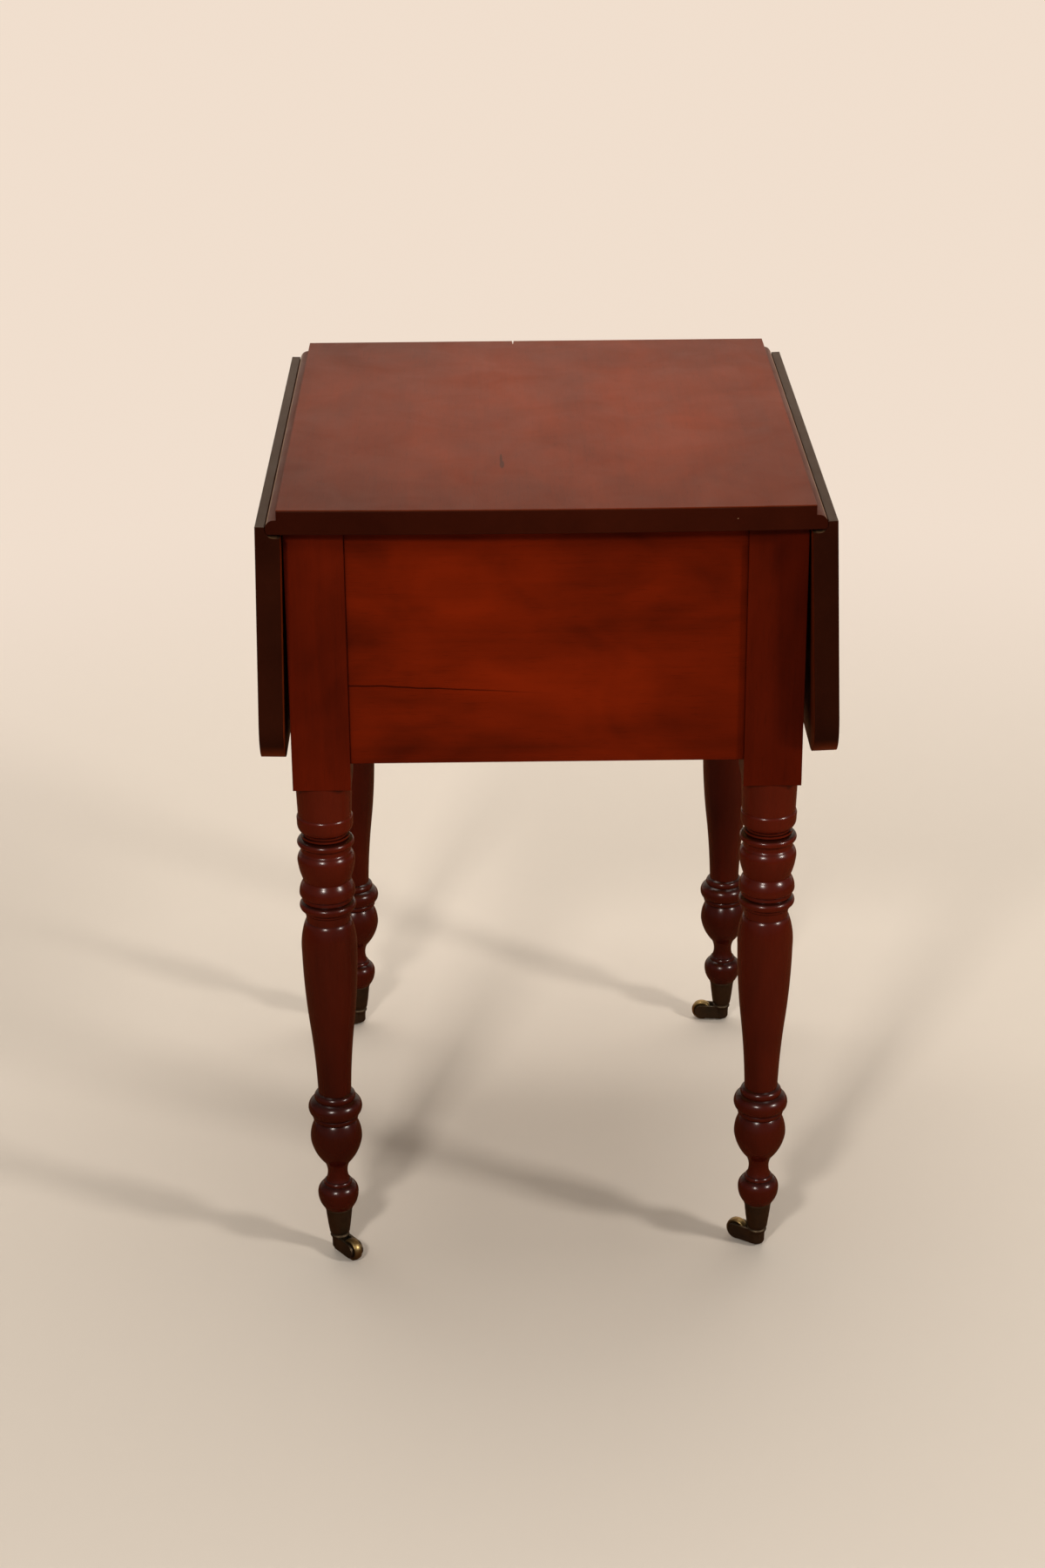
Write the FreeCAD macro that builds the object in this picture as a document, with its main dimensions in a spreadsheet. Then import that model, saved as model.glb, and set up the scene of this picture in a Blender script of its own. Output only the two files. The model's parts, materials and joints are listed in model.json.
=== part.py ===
import FreeCAD, Part
import math
import os
import Sketcher

# Drop-leaf work table, in millimetres.
# The origin is on the floor under the middle of the table, with +Z up.
# The plain end faces -Y and is called back, the drawer end faces +Y and is called front.
# The leaves hang at -X, called left, and at +X, called right.

doc = FreeCAD.newDocument("work_table")
sheet = doc.addObject("Spreadsheet::Sheet", "Sheet")

SIZES = {
    # the table as a whole
    "table_height": 705.0,
    "top_depth": 508.0,
    "top_width": 427.0,
    "top_thick": 20.0,
    "top_arris": 1.5,
    "near_end_bow": 4.0,
    "top_side_over": 3.5,
    "top_end_over": 16.0,
    "apron_height": 205.0,
    "overrun": 5.0,
    "joint_fit": 0.1,
    # split in the far end of the top
    "split_offset": 22.0,
    "split_width": 2.4,
    "split_length": 14.0,
    # rule joint
    "pin_set_out": 1.9,
    "pin_rise": 4.7,
    "ovolo_radius": 7.2,
    "rule_gap": 0.5,
    # leaves
    "leaf_width": 211.0,
    "leaf_corner": 44.0,
    # table hinges
    "hinge_spread": 150.0,
    "hinge_width": 36.0,
    "hinge_inset": 0.4,
    "hinge_thick": 2.2,
    "hinge_barrel": 3.2,
    "hinge_play": 0.4,
    "knuckle_gap": 0.3,
    "hinge_pin_radius": 1.4,
    "pin_play": 0.05,
    "top_plate_length": 32.0,
    "leaf_plate_length": 42.0,
    # posts and turned legs
    "post_width": 48.0,
    "post_length": 227.7,
    "turning_radius": 23.8,
    # casters
    "cup_rim_height": 45.5,
    "cup_height": 25.6,
    "cup_rim_radius": 12.3,
    "cup_foot_radius": 7.9,
    "cup_wall": 1.2,
    "cup_lip": 2.0,
    "spindle_radius": 2.8,
    "spindle_length": 22.0,
    "swivel_gap": 0.3,
    "cheek_drop": 3.0,
    "boss_radius": 6.0,
    "boss_floor_gap": 3.4,
    "caster_trail": 20.0,
    "wheel_radius": 10.0,
    "wheel_width": 7.6,
    "wheel_play": 0.4,
    "cheek_thick": 2.2,
    "cheek_radius": 6.6,
    "axle_radius": 1.5,
    # case joinery
    "tenon_thick": 8.0,
    "tenon_length": 16.0,
    "tenon_shoulder": 12.0,
    "panel_thick": 16.0,
    "panel_set_back": 3.2,
    "side_thick": 20.0,
    "side_set_back": 1.4,
    "rail_set_back": 0.8,
    "top_rail_height": 16.0,
    "middle_rail_height": 16.0,
    "bottom_rail_height": 18.0,
    "upper_opening": 70.0,
    "rail_tenon_depth": 28.0,
    "backing_thick": 16.0,
    "backing_height": 64.0,
    "runner_thick": 14.0,
    "runner_reach": 14.0,
    "guide_height": 14.0,
    "stop_length": 20.0,
    "stop_width": 18.0,
    "stop_height": 6.0,
    "stop_spread": 70.0,
    "stop_gap": 0.4,
    # leaf supports
    "arm_length": 150.0,
    "arm_height": 60.0,
    "arm_tip_height": 24.0,
    "arm_pivot": 75.0,
    "arm_gap": 0.5,
    "arm_end_gap": 2.0,
    "arm_pin_radius": 2.5,
    "arm_pin_seat": 12.0,
    # drawers
    "drawer_side_gap": 0.8,
    "drawer_top_gap": 1.0,
    "drawer_run_gap": 0.4,
    "drawer_front_thick": 20.0,
    "drawer_lap": 6.0,
    "drawer_wall": 10.0,
    "drawer_wall_drop": 5.0,
    "drawer_tail_room": 16.0,
    "drawer_bottom_thick": 6.0,
    "drawer_bottom_rise": 8.0,
    "drawer_groove": 5.0,
    "tail_pitch": 20.0,
    "dovetail_flare": 2.2,
    "knob_spread": 88.0,
    "knob_radius": 13.5,
    "knob_neck_radius": 6.0,
    "knob_projection": 24.0,
    "knob_head_thick": 8.0,
    "knob_bevel": 1.4,
    "knob_spigot_radius": 4.5,
}

# Angles, in degrees: how far each hanging leaf leans out, and where each caster trails at rest,
# counted from +X towards +Y.
ANGLES = {
    "left_leaf_lean": 1.3,
    "right_leaf_lean": 2.3,
    "trail_back_left": -53.0,
    "trail_back_right": 145.0,
    "trail_front_left": 200.0,
    "trail_front_right": 172.0,
}


class Size:
    """A size that knows its value and the expression that binds it to the sheet."""

    def __init__(self, value, text):
        self.value = float(value)
        self.text = text

    def __add__(self, other):
        other = sized(other)
        return Size(self.value + other.value, f"({self.text} + {other.text})")

    def __sub__(self, other):
        other = sized(other)
        return Size(self.value - other.value, f"({self.text} - {other.text})")

    def __mul__(self, other):
        other = sized(other)
        return Size(self.value * other.value, f"{self.text} * {other.text}")

    def __truediv__(self, other):
        other = sized(other)
        return Size(self.value / other.value, f"{self.text} / {other.text}")

    def __neg__(self):
        return Size(-self.value, f"(-1 * {self.text})")

    def __radd__(self, other):
        return sized(other) + self

    def __rsub__(self, other):
        return sized(other) - self

    def __rmul__(self, other):
        return sized(other) * self


def sized(number):
    """Any number or Size as a Size."""
    if isinstance(number, Size):
        return number
    return Size(number, f"({number})")


def root(size):
    """The square root of a Size."""
    return Size(math.sqrt(size.value), f"sqrt({size.text})")


class Sheet:
    """The sheet's cells, as attributes."""


S = Sheet()


def cell(name, text, value):
    """Writes one cell of the sheet and keeps it as a Size."""
    row = len(vars(S)) + 1
    sheet.set(f"A{row}", name)
    sheet.set(f"B{row}", text)
    sheet.setAlias(f"B{row}", name)
    setattr(S, name, Size(value, f"Sheet.{name}"))


def derive(name, size):
    """A cell worked out from others."""
    cell(name, "=" + size.text.replace("Sheet.", ""), size.value)


for size_name, size_value in SIZES.items():
    cell(size_name, str(size_value), size_value)
for angle_name, angle_value in ANGLES.items():
    cell(angle_name, str(angle_value), angle_value)

# Levels and planes that several pieces share
derive("case_width", S.top_width - S.top_side_over * 2)
derive("case_depth", S.top_depth - S.top_end_over * 2)
derive("case_top", S.table_height - S.top_thick)
derive("case_bottom", S.case_top - S.apron_height)
derive("post_bottom", S.case_top - S.post_length)
derive("leg_x", (S.case_width - S.post_width) / 2)
derive("leg_y", (S.case_depth - S.post_width) / 2)
derive("inner_x", S.leg_x - S.post_width / 2)
derive("inner_y", S.leg_y - S.post_width / 2)
derive("pin_x", S.top_width / 2 + S.pin_set_out)
derive("pin_z", S.case_top + S.pin_rise)
derive("cove_radius", S.ovolo_radius + S.rule_gap)
derive("leaf_face", S.top_thick - S.pin_rise)
derive("leaf_tip", S.pin_set_out - S.rule_gap)
derive("hinge_reach", S.pin_rise - S.hinge_inset + S.hinge_play)
derive("plate_low", S.pin_rise - S.hinge_inset)
derive("plate_high", S.plate_low - S.hinge_thick)
derive("cup_foot_height", S.cup_rim_height - S.cup_height)
derive("turning_length", S.post_bottom - S.cup_rim_height)
derive("side_outer", S.case_width / 2 - S.side_set_back)
derive("side_inner", S.side_outer - S.side_thick)
derive("backing_inner", S.side_inner - S.backing_thick)
derive("rail_face", S.case_depth / 2 - S.rail_set_back)
derive("panel_outer", S.panel_set_back - S.case_depth / 2)
derive("top_rail_low", S.case_top - S.top_rail_height)
derive("middle_rail_high", S.top_rail_low - S.upper_opening)
derive("middle_rail_low", S.middle_rail_high - S.middle_rail_height)
derive("bottom_rail_high", S.case_bottom + S.bottom_rail_height)
derive("lower_opening", S.middle_rail_low - S.bottom_rail_high)
derive("runner_inner", S.inner_x - S.runner_reach)

NODES = []
FACE_OF = {"XY": "XY_Plane", "XZ": "XZ_Plane", "YZ": "YZ_Plane"}
WHOLE_TURN = 360.0


def node(label, thing):
    """Names the finished piece and puts it on the list of nodes."""
    thing.Label = label
    NODES.append(thing)
    return thing


def bind(thing, **expressions):
    """Binds properties to sizes."""
    for name, size in expressions.items():
        thing.setExpression(name, sized(size).text)


def place(thing, x=0, y=0, z=0):
    """Binds a piece's position."""
    for axis, size in (("x", x), ("y", y), ("z", z)):
        thing.setExpression(f"Placement.Base.{axis}", sized(size).text)


def box(name, x, y, z):
    """A box between two places along each axis, given in either order."""
    made = doc.addObject("Part::Box", name)
    spans = [sorted((sized(a), sized(b)), key=lambda end: end.value) for a, b in (x, y, z)]
    lengths = [high - low for low, high in spans]
    bind(made, Length=lengths[0], Width=lengths[1], Height=lengths[2])
    place(made, *[low for low, high in spans])
    return made


AXIS_TURNS = {
    "Z": "rotation(vector(0; 0; 1); 0)",
    "Y": "rotation(vector(1; 0; 0); -90)",
}


def turn_to(made, at, axis):
    """Puts a round primitive at a point, with its axis along Y or Z."""
    base = "; ".join(sized(part).text for part in at)
    made.setExpression(".Placement", f"placement(vector({base}); {AXIS_TURNS[axis]})")
    return made


def rod(name, radius, length, at, axis="Z"):
    """A round rod that starts at a point and runs along an axis."""
    made = doc.addObject("Part::Cylinder", name)
    bind(made, Radius=radius, Height=length)
    return turn_to(made, at, axis)


def fuse(name, *things):
    """Joins pieces of one solid."""
    made = doc.addObject("Part::MultiFuse", name)
    made.Shapes = list(things)
    made.Refine = True
    return made


def group(name, things):
    """Several separate solids as one object."""
    made = doc.addObject("Part::Compound", name)
    made.Links = list(things)
    return made


def cut(name, base, *tools):
    """Takes tools out of a piece."""
    made = doc.addObject("Part::Cut", name)
    made.Base = base
    made.Tool = tools[0] if len(tools) == 1 else fuse(name + "_tools", *tools)
    return made


def point_of(pair):
    """A point of an outline as a vector."""
    return FreeCAD.Vector(sized(pair[0]).value, sized(pair[1]).value, 0)


# How Sketcher numbers the ends of a piece, the origin's lines and its point
START, END = 1, 2
LEVEL_LINE, UPRIGHT_LINE = -1, -2


def fix_point(sketch, geometry, end, pair):
    """Holds one end of a line or arc at a point, by the sizes of that point."""
    for size, kind, axis in zip(pair, ("DistanceX", "DistanceY"), (UPRIGHT_LINE, LEVEL_LINE)):
        size = sized(size)
        if size.value == 0:
            sketch.addConstraint(Sketcher.Constraint("PointOnObject", geometry, end, axis))
            continue
        rule = Sketcher.Constraint(kind, LEVEL_LINE, START, geometry, end, size.value)
        index = sketch.addConstraint(rule)
        sketch.setExpression(f"Constraints[{index}]", size.text)


def draw(sketch, start, steps):
    """Draws one closed outline: a step is an end point, or a middle and an end point of an arc."""
    first = None
    last = None
    here = start
    closed = list(steps)
    if closed[-1][-1] != start:
        closed.append((start,))
    for step in closed:
        end = step[-1]
        if len(step) == 1:
            piece = Part.LineSegment(point_of(here), point_of(end))
        else:
            piece = Part.Arc(point_of(here), point_of(step[0]), point_of(end))
        index = sketch.addGeometry(piece)
        # an arc that turns clockwise starts at its second end
        to_start = (sketch.getPoint(index, START) - point_of(here)).Length
        to_end = (sketch.getPoint(index, END) - point_of(here)).Length
        ends = (START, END) if to_start < to_end else (END, START)
        fix_point(sketch, index, ends[0], here)
        if last:
            sketch.addConstraint(Sketcher.Constraint("Coincident", *last, index, ends[0]))
        if len(step) == 2:
            middle = sketch.addGeometry(Part.Point(point_of(step[0])), True)
            fix_point(sketch, middle, START, step[0])
            sketch.addConstraint(Sketcher.Constraint("PointOnObject", middle, START, index))
        first = first or (index, ends[0])
        last = (index, ends[1])
        here = end
    sketch.addConstraint(Sketcher.Constraint("Coincident", *last, *first))


def body_with(name, plane, *outlines):
    """A body with one sketch on a plane through its origin."""
    body = doc.addObject("PartDesign::Body", name)
    sketch = sketch_in(body, plane, *outlines)
    return body, sketch


def sketch_in(body, plane, *outlines):
    """A sketch of closed outlines, each a start point and its steps."""
    sketch = body.newObject("Sketcher::SketchObject", body.Name + "_outline")
    role = FACE_OF[plane]
    face = [part for part in body.Origin.OriginFeatures if part.Role == role][0]
    sketch.AttachmentSupport = [(face, "")]
    sketch.MapMode = "FlatFace"
    for start, steps in outlines:
        draw(sketch, start, steps)
    return sketch


def pad(body, sketch, forward, backward=0):
    """Thickens a sketch along its plane's normal, and backwards."""
    made = body.newObject("PartDesign::Pad", body.Name + "_pad")
    made.Profile = sketch
    if sized(backward).value:
        made.SideType = "Two sides"
        bind(made, Length=forward, Length2=backward)
    else:
        bind(made, Length=forward)
    return made


def revolve(body, sketch, axis="V_Axis"):
    """Turns a sketch about its own vertical or horizontal axis."""
    made = body.newObject("PartDesign::Revolution", body.Name + "_turned")
    made.Profile = sketch
    made.ReferenceAxis = (sketch, [axis])
    made.Angle = WHOLE_TURN
    return made


def edges_where(shape, test):
    """The names of the edges whose two ends both pass a test."""
    names = []
    for number, edge in enumerate(shape.Edges, 1):
        ends = [vertex.Point for vertex in edge.Vertexes]
        if all(test(end) for end in ends):
            names.append(f"Edge{number}")
    return names


def near(a, b):
    """Whether two numbers are the same place."""
    return abs(a - b) < 1e-4 * S.top_thick.value


def round_edges(body, base, names, radius):
    """Rounds edges of a body's last feature."""
    made = body.newObject("PartDesign::Fillet", body.Name + "_rounded")
    made.Base = (base, names)
    bind(made, Radius=radius)
    return made


SIDES = {"left": -1, "right": 1}
ENDS = {"back": -1, "front": 1}
LEAF_TURN = {
    "left": "rotation(vector(0; 0; 1); 180) * rotation(vector(0; 1; 0); -1 * {lean})",
    "right": "rotation(vector(0; 1; 0); -1 * {lean})",
}


def hang(thing, side):
    """Puts a piece made about the hinge pin, outward along +X, on a hanging leaf."""
    turn = LEAF_TURN[side].format(lean=f"Sheet.{side}_leaf_lean")
    base = f"{(S.pin_x * SIDES[side]).text}; 0; {S.pin_z.text}"
    thing.setExpression(".Placement", f"placement(vector({base}); {turn})")
    return thing


def on_pin(thing, side):
    """Puts a piece made about the hinge pin, outward along +X, on the top."""
    turn = AXIS_TURNS["Z"] if side == "right" else "rotation(vector(0; 0; 1); 180)"
    base = f"{(S.pin_x * SIDES[side]).text}; 0; {S.pin_z.text}"
    thing.setExpression(".Placement", f"placement(vector({base}); {turn})")
    return thing


def top_profile():
    """The section of the top: flat, with a shoulder and an ovolo along each rule joint."""
    half = S.top_width / 2
    lip = root(S.ovolo_radius * S.ovolo_radius - S.pin_rise * S.pin_rise)
    shoulder_z = S.pin_z + S.ovolo_radius
    bend = S.ovolo_radius * math.sqrt(0.5)
    start = (-half, S.table_height)
    steps = [((half, S.table_height),), ((half, shoulder_z),), ((S.pin_x, shoulder_z),)]
    steps.append(((S.pin_x + bend, S.pin_z + bend), (S.pin_x + S.ovolo_radius, S.pin_z)))
    dip = S.ovolo_radius * math.cos(math.radians(OVOLO_DIP))
    drop = S.ovolo_radius * math.sin(math.radians(OVOLO_DIP))
    steps.append(((S.pin_x + dip, S.pin_z - drop), (S.pin_x + lip, S.case_top)))
    steps.append(((-S.pin_x - lip, S.case_top),))
    steps.append(((-S.pin_x - dip, S.pin_z - drop), (-S.pin_x - S.ovolo_radius, S.pin_z)))
    steps.append(((-S.pin_x - bend, S.pin_z + bend), (-S.pin_x, shoulder_z)))
    steps.append(((-half, shoulder_z),))
    return start, steps


# Degrees below the pin's level at which the lower arc of the ovolo is held
OVOLO_DIP = 18.0


def make_top():
    """The top board, with the bow of its near end and the mortises for its hinges."""
    half_depth = S.top_depth / 2
    body, section = body_with("top_blank", "XZ", top_profile())
    blank = pad(body, section, half_depth + S.near_end_bow, half_depth)
    reach = S.pin_x + S.ovolo_radius
    past = S.near_end_bow + S.overrun
    corner = (-reach - S.overrun, -half_depth)
    steps = [((-reach, -half_depth),)]
    steps.append(((0, -half_depth - S.near_end_bow), (reach, -half_depth)))
    steps.append(((reach + S.overrun, -half_depth),))
    steps.append(((reach + S.overrun, -half_depth - past),))
    steps.append(((-reach - S.overrun, -half_depth - past),))
    doc.recompute()
    bow = sketch_in(body, "XY", (corner, steps))
    trim = body.newObject("PartDesign::Pocket", "top_bow")
    trim.Profile = bow
    trim.Type = "ThroughAll"
    trim.Midplane = True
    doc.recompute()

    def on_end(point):
        at_end = point.y < -half_depth.value / 2 or point.y > half_depth.value / 2
        return near(point.z, S.table_height.value) and at_end

    ends = [
        name
        for name in edges_where(trim.Shape, on_end)
        if abs(trim.Shape.getElement(name).tangentAt(0).y) < 0.5
        or trim.Shape.getElement(name).BoundBox.XLength > half_depth.value / 2
    ]
    round_edges(body, trim, ends, S.top_arris)
    tools = []
    for side, way in SIDES.items():
        for end in (-1, 1):
            tag = f"{side}_{end}"
            y = [S.hinge_spread * end + S.hinge_width * half for half in (-0.5, 0.5)]
            wide = (y[0] - S.hinge_play, y[1] + S.hinge_play)
            low = S.case_top - S.overrun
            plate_x = (S.pin_x - S.hinge_reach) * way, (S.pin_x - S.top_plate_length) * way
            tools.append(box(f"plate_bed_{tag}", plate_x, tuple(y), (low, S.pin_z - S.plate_high)))
            at = (S.pin_x * way, wide[0], S.pin_z)
            width = S.hinge_width + S.hinge_play * 2
            tools.append(rod(f"barrel_bed_{tag}", S.hinge_reach, width, at, "Y"))
            swing_x = (S.pin_x - S.hinge_reach) * way, (reach + S.overrun) * way
            tools.append(box(f"swing_bed_{tag}", swing_x, wide, (low, S.pin_z)))
    tip = (-S.split_offset, half_depth - S.split_length)
    wedge_steps = [((S.split_width / 2 - S.split_offset, half_depth + S.overrun),)]
    wedge_steps.append(((-S.split_width / 2 - S.split_offset, half_depth + S.overrun),))
    wedge, split = body_with("split_cutter", "XY", (tip, wedge_steps))
    pad(wedge, split, S.table_height + S.overrun)
    tools.append(wedge)
    node("top_board", cut("top_cut", body, *tools))


def leaf_profile():
    """The section of a hanging leaf about its pin: outward is +X, and the joint is on top."""
    bottom = S.leaf_tip - S.leaf_width
    bend = S.cove_radius * math.sqrt(0.5)
    start = (S.cove_radius, S.leaf_tip)
    steps = [((S.cove_radius, 0),), ((bend, -bend), (0, -S.cove_radius))]
    steps.append(((-S.pin_rise, -S.cove_radius),))
    steps.append(((-S.pin_rise, bottom),))
    steps.append(((S.leaf_face, bottom),))
    steps.append(((S.leaf_face, S.leaf_tip),))
    return start, steps


def make_leaf(side):
    """A leaf, with its rounded corners and the mortises for its hinge plates."""
    half_depth = S.top_depth / 2
    bottom = S.leaf_tip - S.leaf_width
    body, section = body_with(f"{side}_leaf_blank", "XZ", leaf_profile())
    blank = pad(body, section, half_depth, half_depth)
    doc.recompute()
    corners = [
        name
        for name in edges_where(blank.Shape, lambda point: near(point.z, bottom.value))
        if near(blank.Shape.getElement(name).BoundBox.YLength, 0)
    ]
    round_edges(body, blank, corners, S.leaf_corner)
    tools = []
    for end in (-1, 1):
        y = [S.hinge_spread * end + S.hinge_width * half for half in (-0.5, 0.5)]
        x = (-S.pin_rise - S.overrun, -S.plate_high)
        z = (-S.leaf_plate_length, S.overrun - S.cove_radius)
        tools.append(box(f"{side}_leaf_bed_{end}", x, tuple(y), z))
    node(f"{side}_leaf", hang(cut(f"{side}_leaf_cut", body, *tools), side))


def knuckle_spans():
    """Three knuckles along a hinge: the middle one is the leaf's."""
    third = S.hinge_width / 3
    half = S.hinge_width / 2
    gap = S.knuckle_gap / 2
    return [
        (-half, third - half - gap),
        (third - half + gap, half - third - gap),
        (half - third + gap, half),
    ]


def make_hinges():
    """Two table hinges for each leaf, whose barrels are let into the wood."""
    top_plates = []
    for side in SIDES:
        leaf_plates = []
        for end in (-1, 1):
            centre = S.hinge_spread * end
            spans = [(centre + low, centre + high) for low, high in knuckle_spans()]
            width = (spans[0][0], spans[2][1])
            pin_start = (0, width[0], 0)
            thick = (-S.plate_low, -S.plate_high)
            tag = f"{side}_{'back' if end < 0 else 'front'}"
            x = (-S.top_plate_length, -S.hinge_reach)
            # the pin is riveted into the top's knuckles, so it is part of that plate
            parts = [
                box(f"top_plate_{tag}", x, width, thick),
                rod(f"hinge_pin_{tag}", S.hinge_pin_radius, S.hinge_width, pin_start, "Y"),
            ]
            for number in (0, 2):
                y = spans[number]
                at = (0, y[0], 0)
                parts.append(rod(f"top_knuckle_{tag}_{number}", S.hinge_barrel, y[1] - y[0], at, "Y"))
                parts.append(box(f"top_neck_{tag}_{number}", (-S.hinge_reach, 0), y, thick))
            plate = fuse(f"top_plate_body_{tag}", *parts)
            top_plates.append(on_pin(group(f"top_plate_set_{tag}", [plate]), side))

            y = spans[1]
            at = (0, y[0], 0)
            z = (-S.leaf_plate_length, -S.hinge_reach)
            body = fuse(
                f"leaf_plate_body_{tag}",
                box(f"leaf_plate_{tag}", thick, width, z),
                box(f"leaf_neck_{tag}", thick, y, (-S.hinge_reach, -S.hinge_pin_radius)),
                rod(f"leaf_knuckle_{tag}", S.hinge_barrel, y[1] - y[0], at, "Y"),
            )
            play_radius = S.hinge_pin_radius + S.pin_play
            hole = rod(f"leaf_bore_{tag}", play_radius, S.hinge_width, pin_start, "Y")
            leaf_plates.append(cut(f"leaf_plate_cut_{tag}", body, hole))
        node(f"{side}_leaf_hinge_plates", hang(group(f"{side}_plates", leaf_plates), side))
    node("top_hinge_plates", group("top_plate_group", top_plates))


# The turned part of a leg, from the square down to the caster cup. Each stretch gives its end as
# shares of the turning's length above the cup and of its largest radius, and how far it swells
# out past a straight line, as a share of its own length. Beads are two flanks and a crown, which
# keeps the four legs light.
TURNING_START_SHARES = (1.000, 0.992)
TURNING_SHARES = [
    (0.922, 0.992, 0),
    # cove under the square
    (0.897, 0.937, 0),
    (0.881, 0.773, 0),
    # ring
    (0.874, 0.962, 0),
    (0.860, 0.962, 0),
    (0.852, 0.861, 0),
    # two bulbs
    (0.834, 0.987, 0),
    (0.797, 0.987, 0),
    (0.780, 0.824, 0),
    (0.766, 0.971, 0),
    (0.745, 0.971, 0),
    (0.734, 0.866, 0),
    # ring and neck
    (0.727, 0.962, 0),
    (0.716, 0.962, 0),
    (0.708, 0.849, 0),
    (0.688, 0.786, 0),
    # vase
    (0.662, 0.929, 0),
    (0.436, 0.782, 0.023),
    (0.295, 0.605, -0.009),
    # ring
    (0.290, 0.739, 0),
    (0.278, 0.739, 0),
    # bulb
    (0.263, 0.958, 0),
    (0.243, 0.958, 0),
    (0.232, 0.815, 0),
    (0.222, 0.765, 0),
    # ball
    (0.202, 0.962, 0),
    (0.169, 0.962, 0),
    (0.143, 0.836, 0),
    (0.124, 0.525, 0),
    # neck
    (0.095, 0.382, 0),
    (0.068, 0.450, 0),
    # foot
    (0.046, 0.718, 0),
    (0.019, 0.718, 0),
    (0.000, 0.538, 0),
]


def turning_point(high_share, wide_share):
    """A point of a leg's turned outline from its height share and radius share."""
    height = S.cup_rim_height + S.turning_length * high_share
    return S.turning_radius * wide_share, height


def swollen(start, end, swell_share):
    """The step from one point to the next of an outline drawn downwards, bent outwards."""
    if not swell_share:
        return (end,)
    wide = end[0] - start[0]
    high = end[1] - start[1]
    middle_x = (start[0] + end[0]) / 2 - high * swell_share
    middle_z = (start[1] + end[1]) / 2 + wide * swell_share
    return (middle_x, middle_z), end


def cup_inside_points():
    """The leg's foot inside the cup, at the rim and at the cup's floor."""
    rim = (S.cup_rim_radius - S.cup_wall, S.cup_rim_height)
    foot = (S.cup_foot_radius - S.cup_wall, S.cup_foot_height + S.cup_wall)
    return rim, foot


def leg_outline():
    """Half the section of the turned part, from its top round to its axis."""
    start = (0, S.post_bottom)
    here = turning_point(*TURNING_START_SHARES)
    steps = [(here,)]
    for high_share, wide_share, swell_share in TURNING_SHARES:
        end = turning_point(high_share, wide_share)
        steps.append(swollen(here, end, swell_share))
        here = end
    rim, foot = cup_inside_points()
    steps.extend([(rim,), (foot,), ((0, foot[1]),)])
    return start, steps


def make_leg(end, side):
    """One leg: a square post above, turned below, mortised for what meets it."""
    tag = f"{end}_{side}"
    out_x = SIDES[side]
    out_y = ENDS[end]
    body, outline = body_with(f"leg_blank_{tag}", "XZ", leg_outline())
    revolve(body, outline)
    half = S.post_width / 2
    square = box(f"square_{tag}", (-half, half), (-half, half), (S.post_bottom, S.case_top))
    tools = []
    fit = S.joint_fit
    deep = S.tenon_length + fit
    low = S.case_bottom + S.tenon_shoulder - fit
    high = S.case_top - S.tenon_shoulder + fit
    # the side board's tenon, from the face towards the other end of the case
    middle = (S.side_outer - S.side_thick / 2 - S.leg_x) * out_x
    wide = (middle - S.tenon_thick / 2 - fit, middle + S.tenon_thick / 2 + fit)
    face_y = (-(half + S.overrun) * out_y, (deep - half) * out_y)
    tools.append(box(f"side_mortise_{tag}", wide, face_y, (low, high)))
    face_x = (-(half + S.overrun) * out_x, (deep - half) * out_x)
    if end == "back":
        centre = S.panel_outer + S.panel_thick / 2 + S.leg_y
        wide = (centre - S.tenon_thick / 2 - fit, centre + S.tenon_thick / 2 + fit)
        tools.append(box(f"panel_mortise_{tag}", face_x, wide, (low, high)))
    else:
        for name, rail_low, rail_high in rail_levels():
            depth = rail_tenon_span()
            wide = (depth[0] - S.leg_y - fit, depth[1] - S.leg_y + fit)
            tall = rail_tenon_levels(rail_low, rail_high)
            z = (tall[0] - fit, tall[1] + fit)
            tools.append(box(f"{name}_mortise_{tag}", face_x, wide, z))
    bore_radius = S.spindle_radius + S.pin_play
    bore_length = S.spindle_length + S.overrun
    tools.append(
        rod(f"spindle_bore_{tag}", bore_radius, bore_length, (0, 0, S.cup_foot_height))
    )
    made = cut(f"leg_cut_{tag}", fuse(f"leg_body_{tag}", body, square), *tools)
    place(made, S.leg_x * out_x, S.leg_y * out_y)
    node(f"leg_{tag}", made)


def rail_levels():
    """The three rails of the drawer end: name, lower face and upper face."""
    return [
        ("top_rail", S.top_rail_low, S.case_top),
        ("middle_rail", S.middle_rail_low, S.middle_rail_high),
        ("bottom_rail", S.case_bottom, S.bottom_rail_high),
    ]


def rail_tenon_span():
    """A rail's tenon from back to front."""
    middle = (S.rail_face + S.inner_y) / 2
    return middle - S.rail_tenon_depth / 2, middle + S.rail_tenon_depth / 2


def rail_tenon_levels(low, high):
    """A rail's tenon from bottom to top."""
    middle = (low + high) / 2
    return middle - S.tenon_thick / 2, middle + S.tenon_thick / 2


def make_rails():
    """The rails above, between and below the drawers."""
    for name, low, high in rail_levels():
        across = (-S.inner_x, S.inner_x)
        board = box(f"{name}_board", across, (S.inner_y, S.rail_face), (low, high))
        past = S.inner_x + S.tenon_length
        tenon = box(
            f"{name}_tenon", (-past, past), rail_tenon_span(), rail_tenon_levels(low, high)
        )
        node(f"front_{name}", fuse(f"{name}_body", board, tenon))


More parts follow.
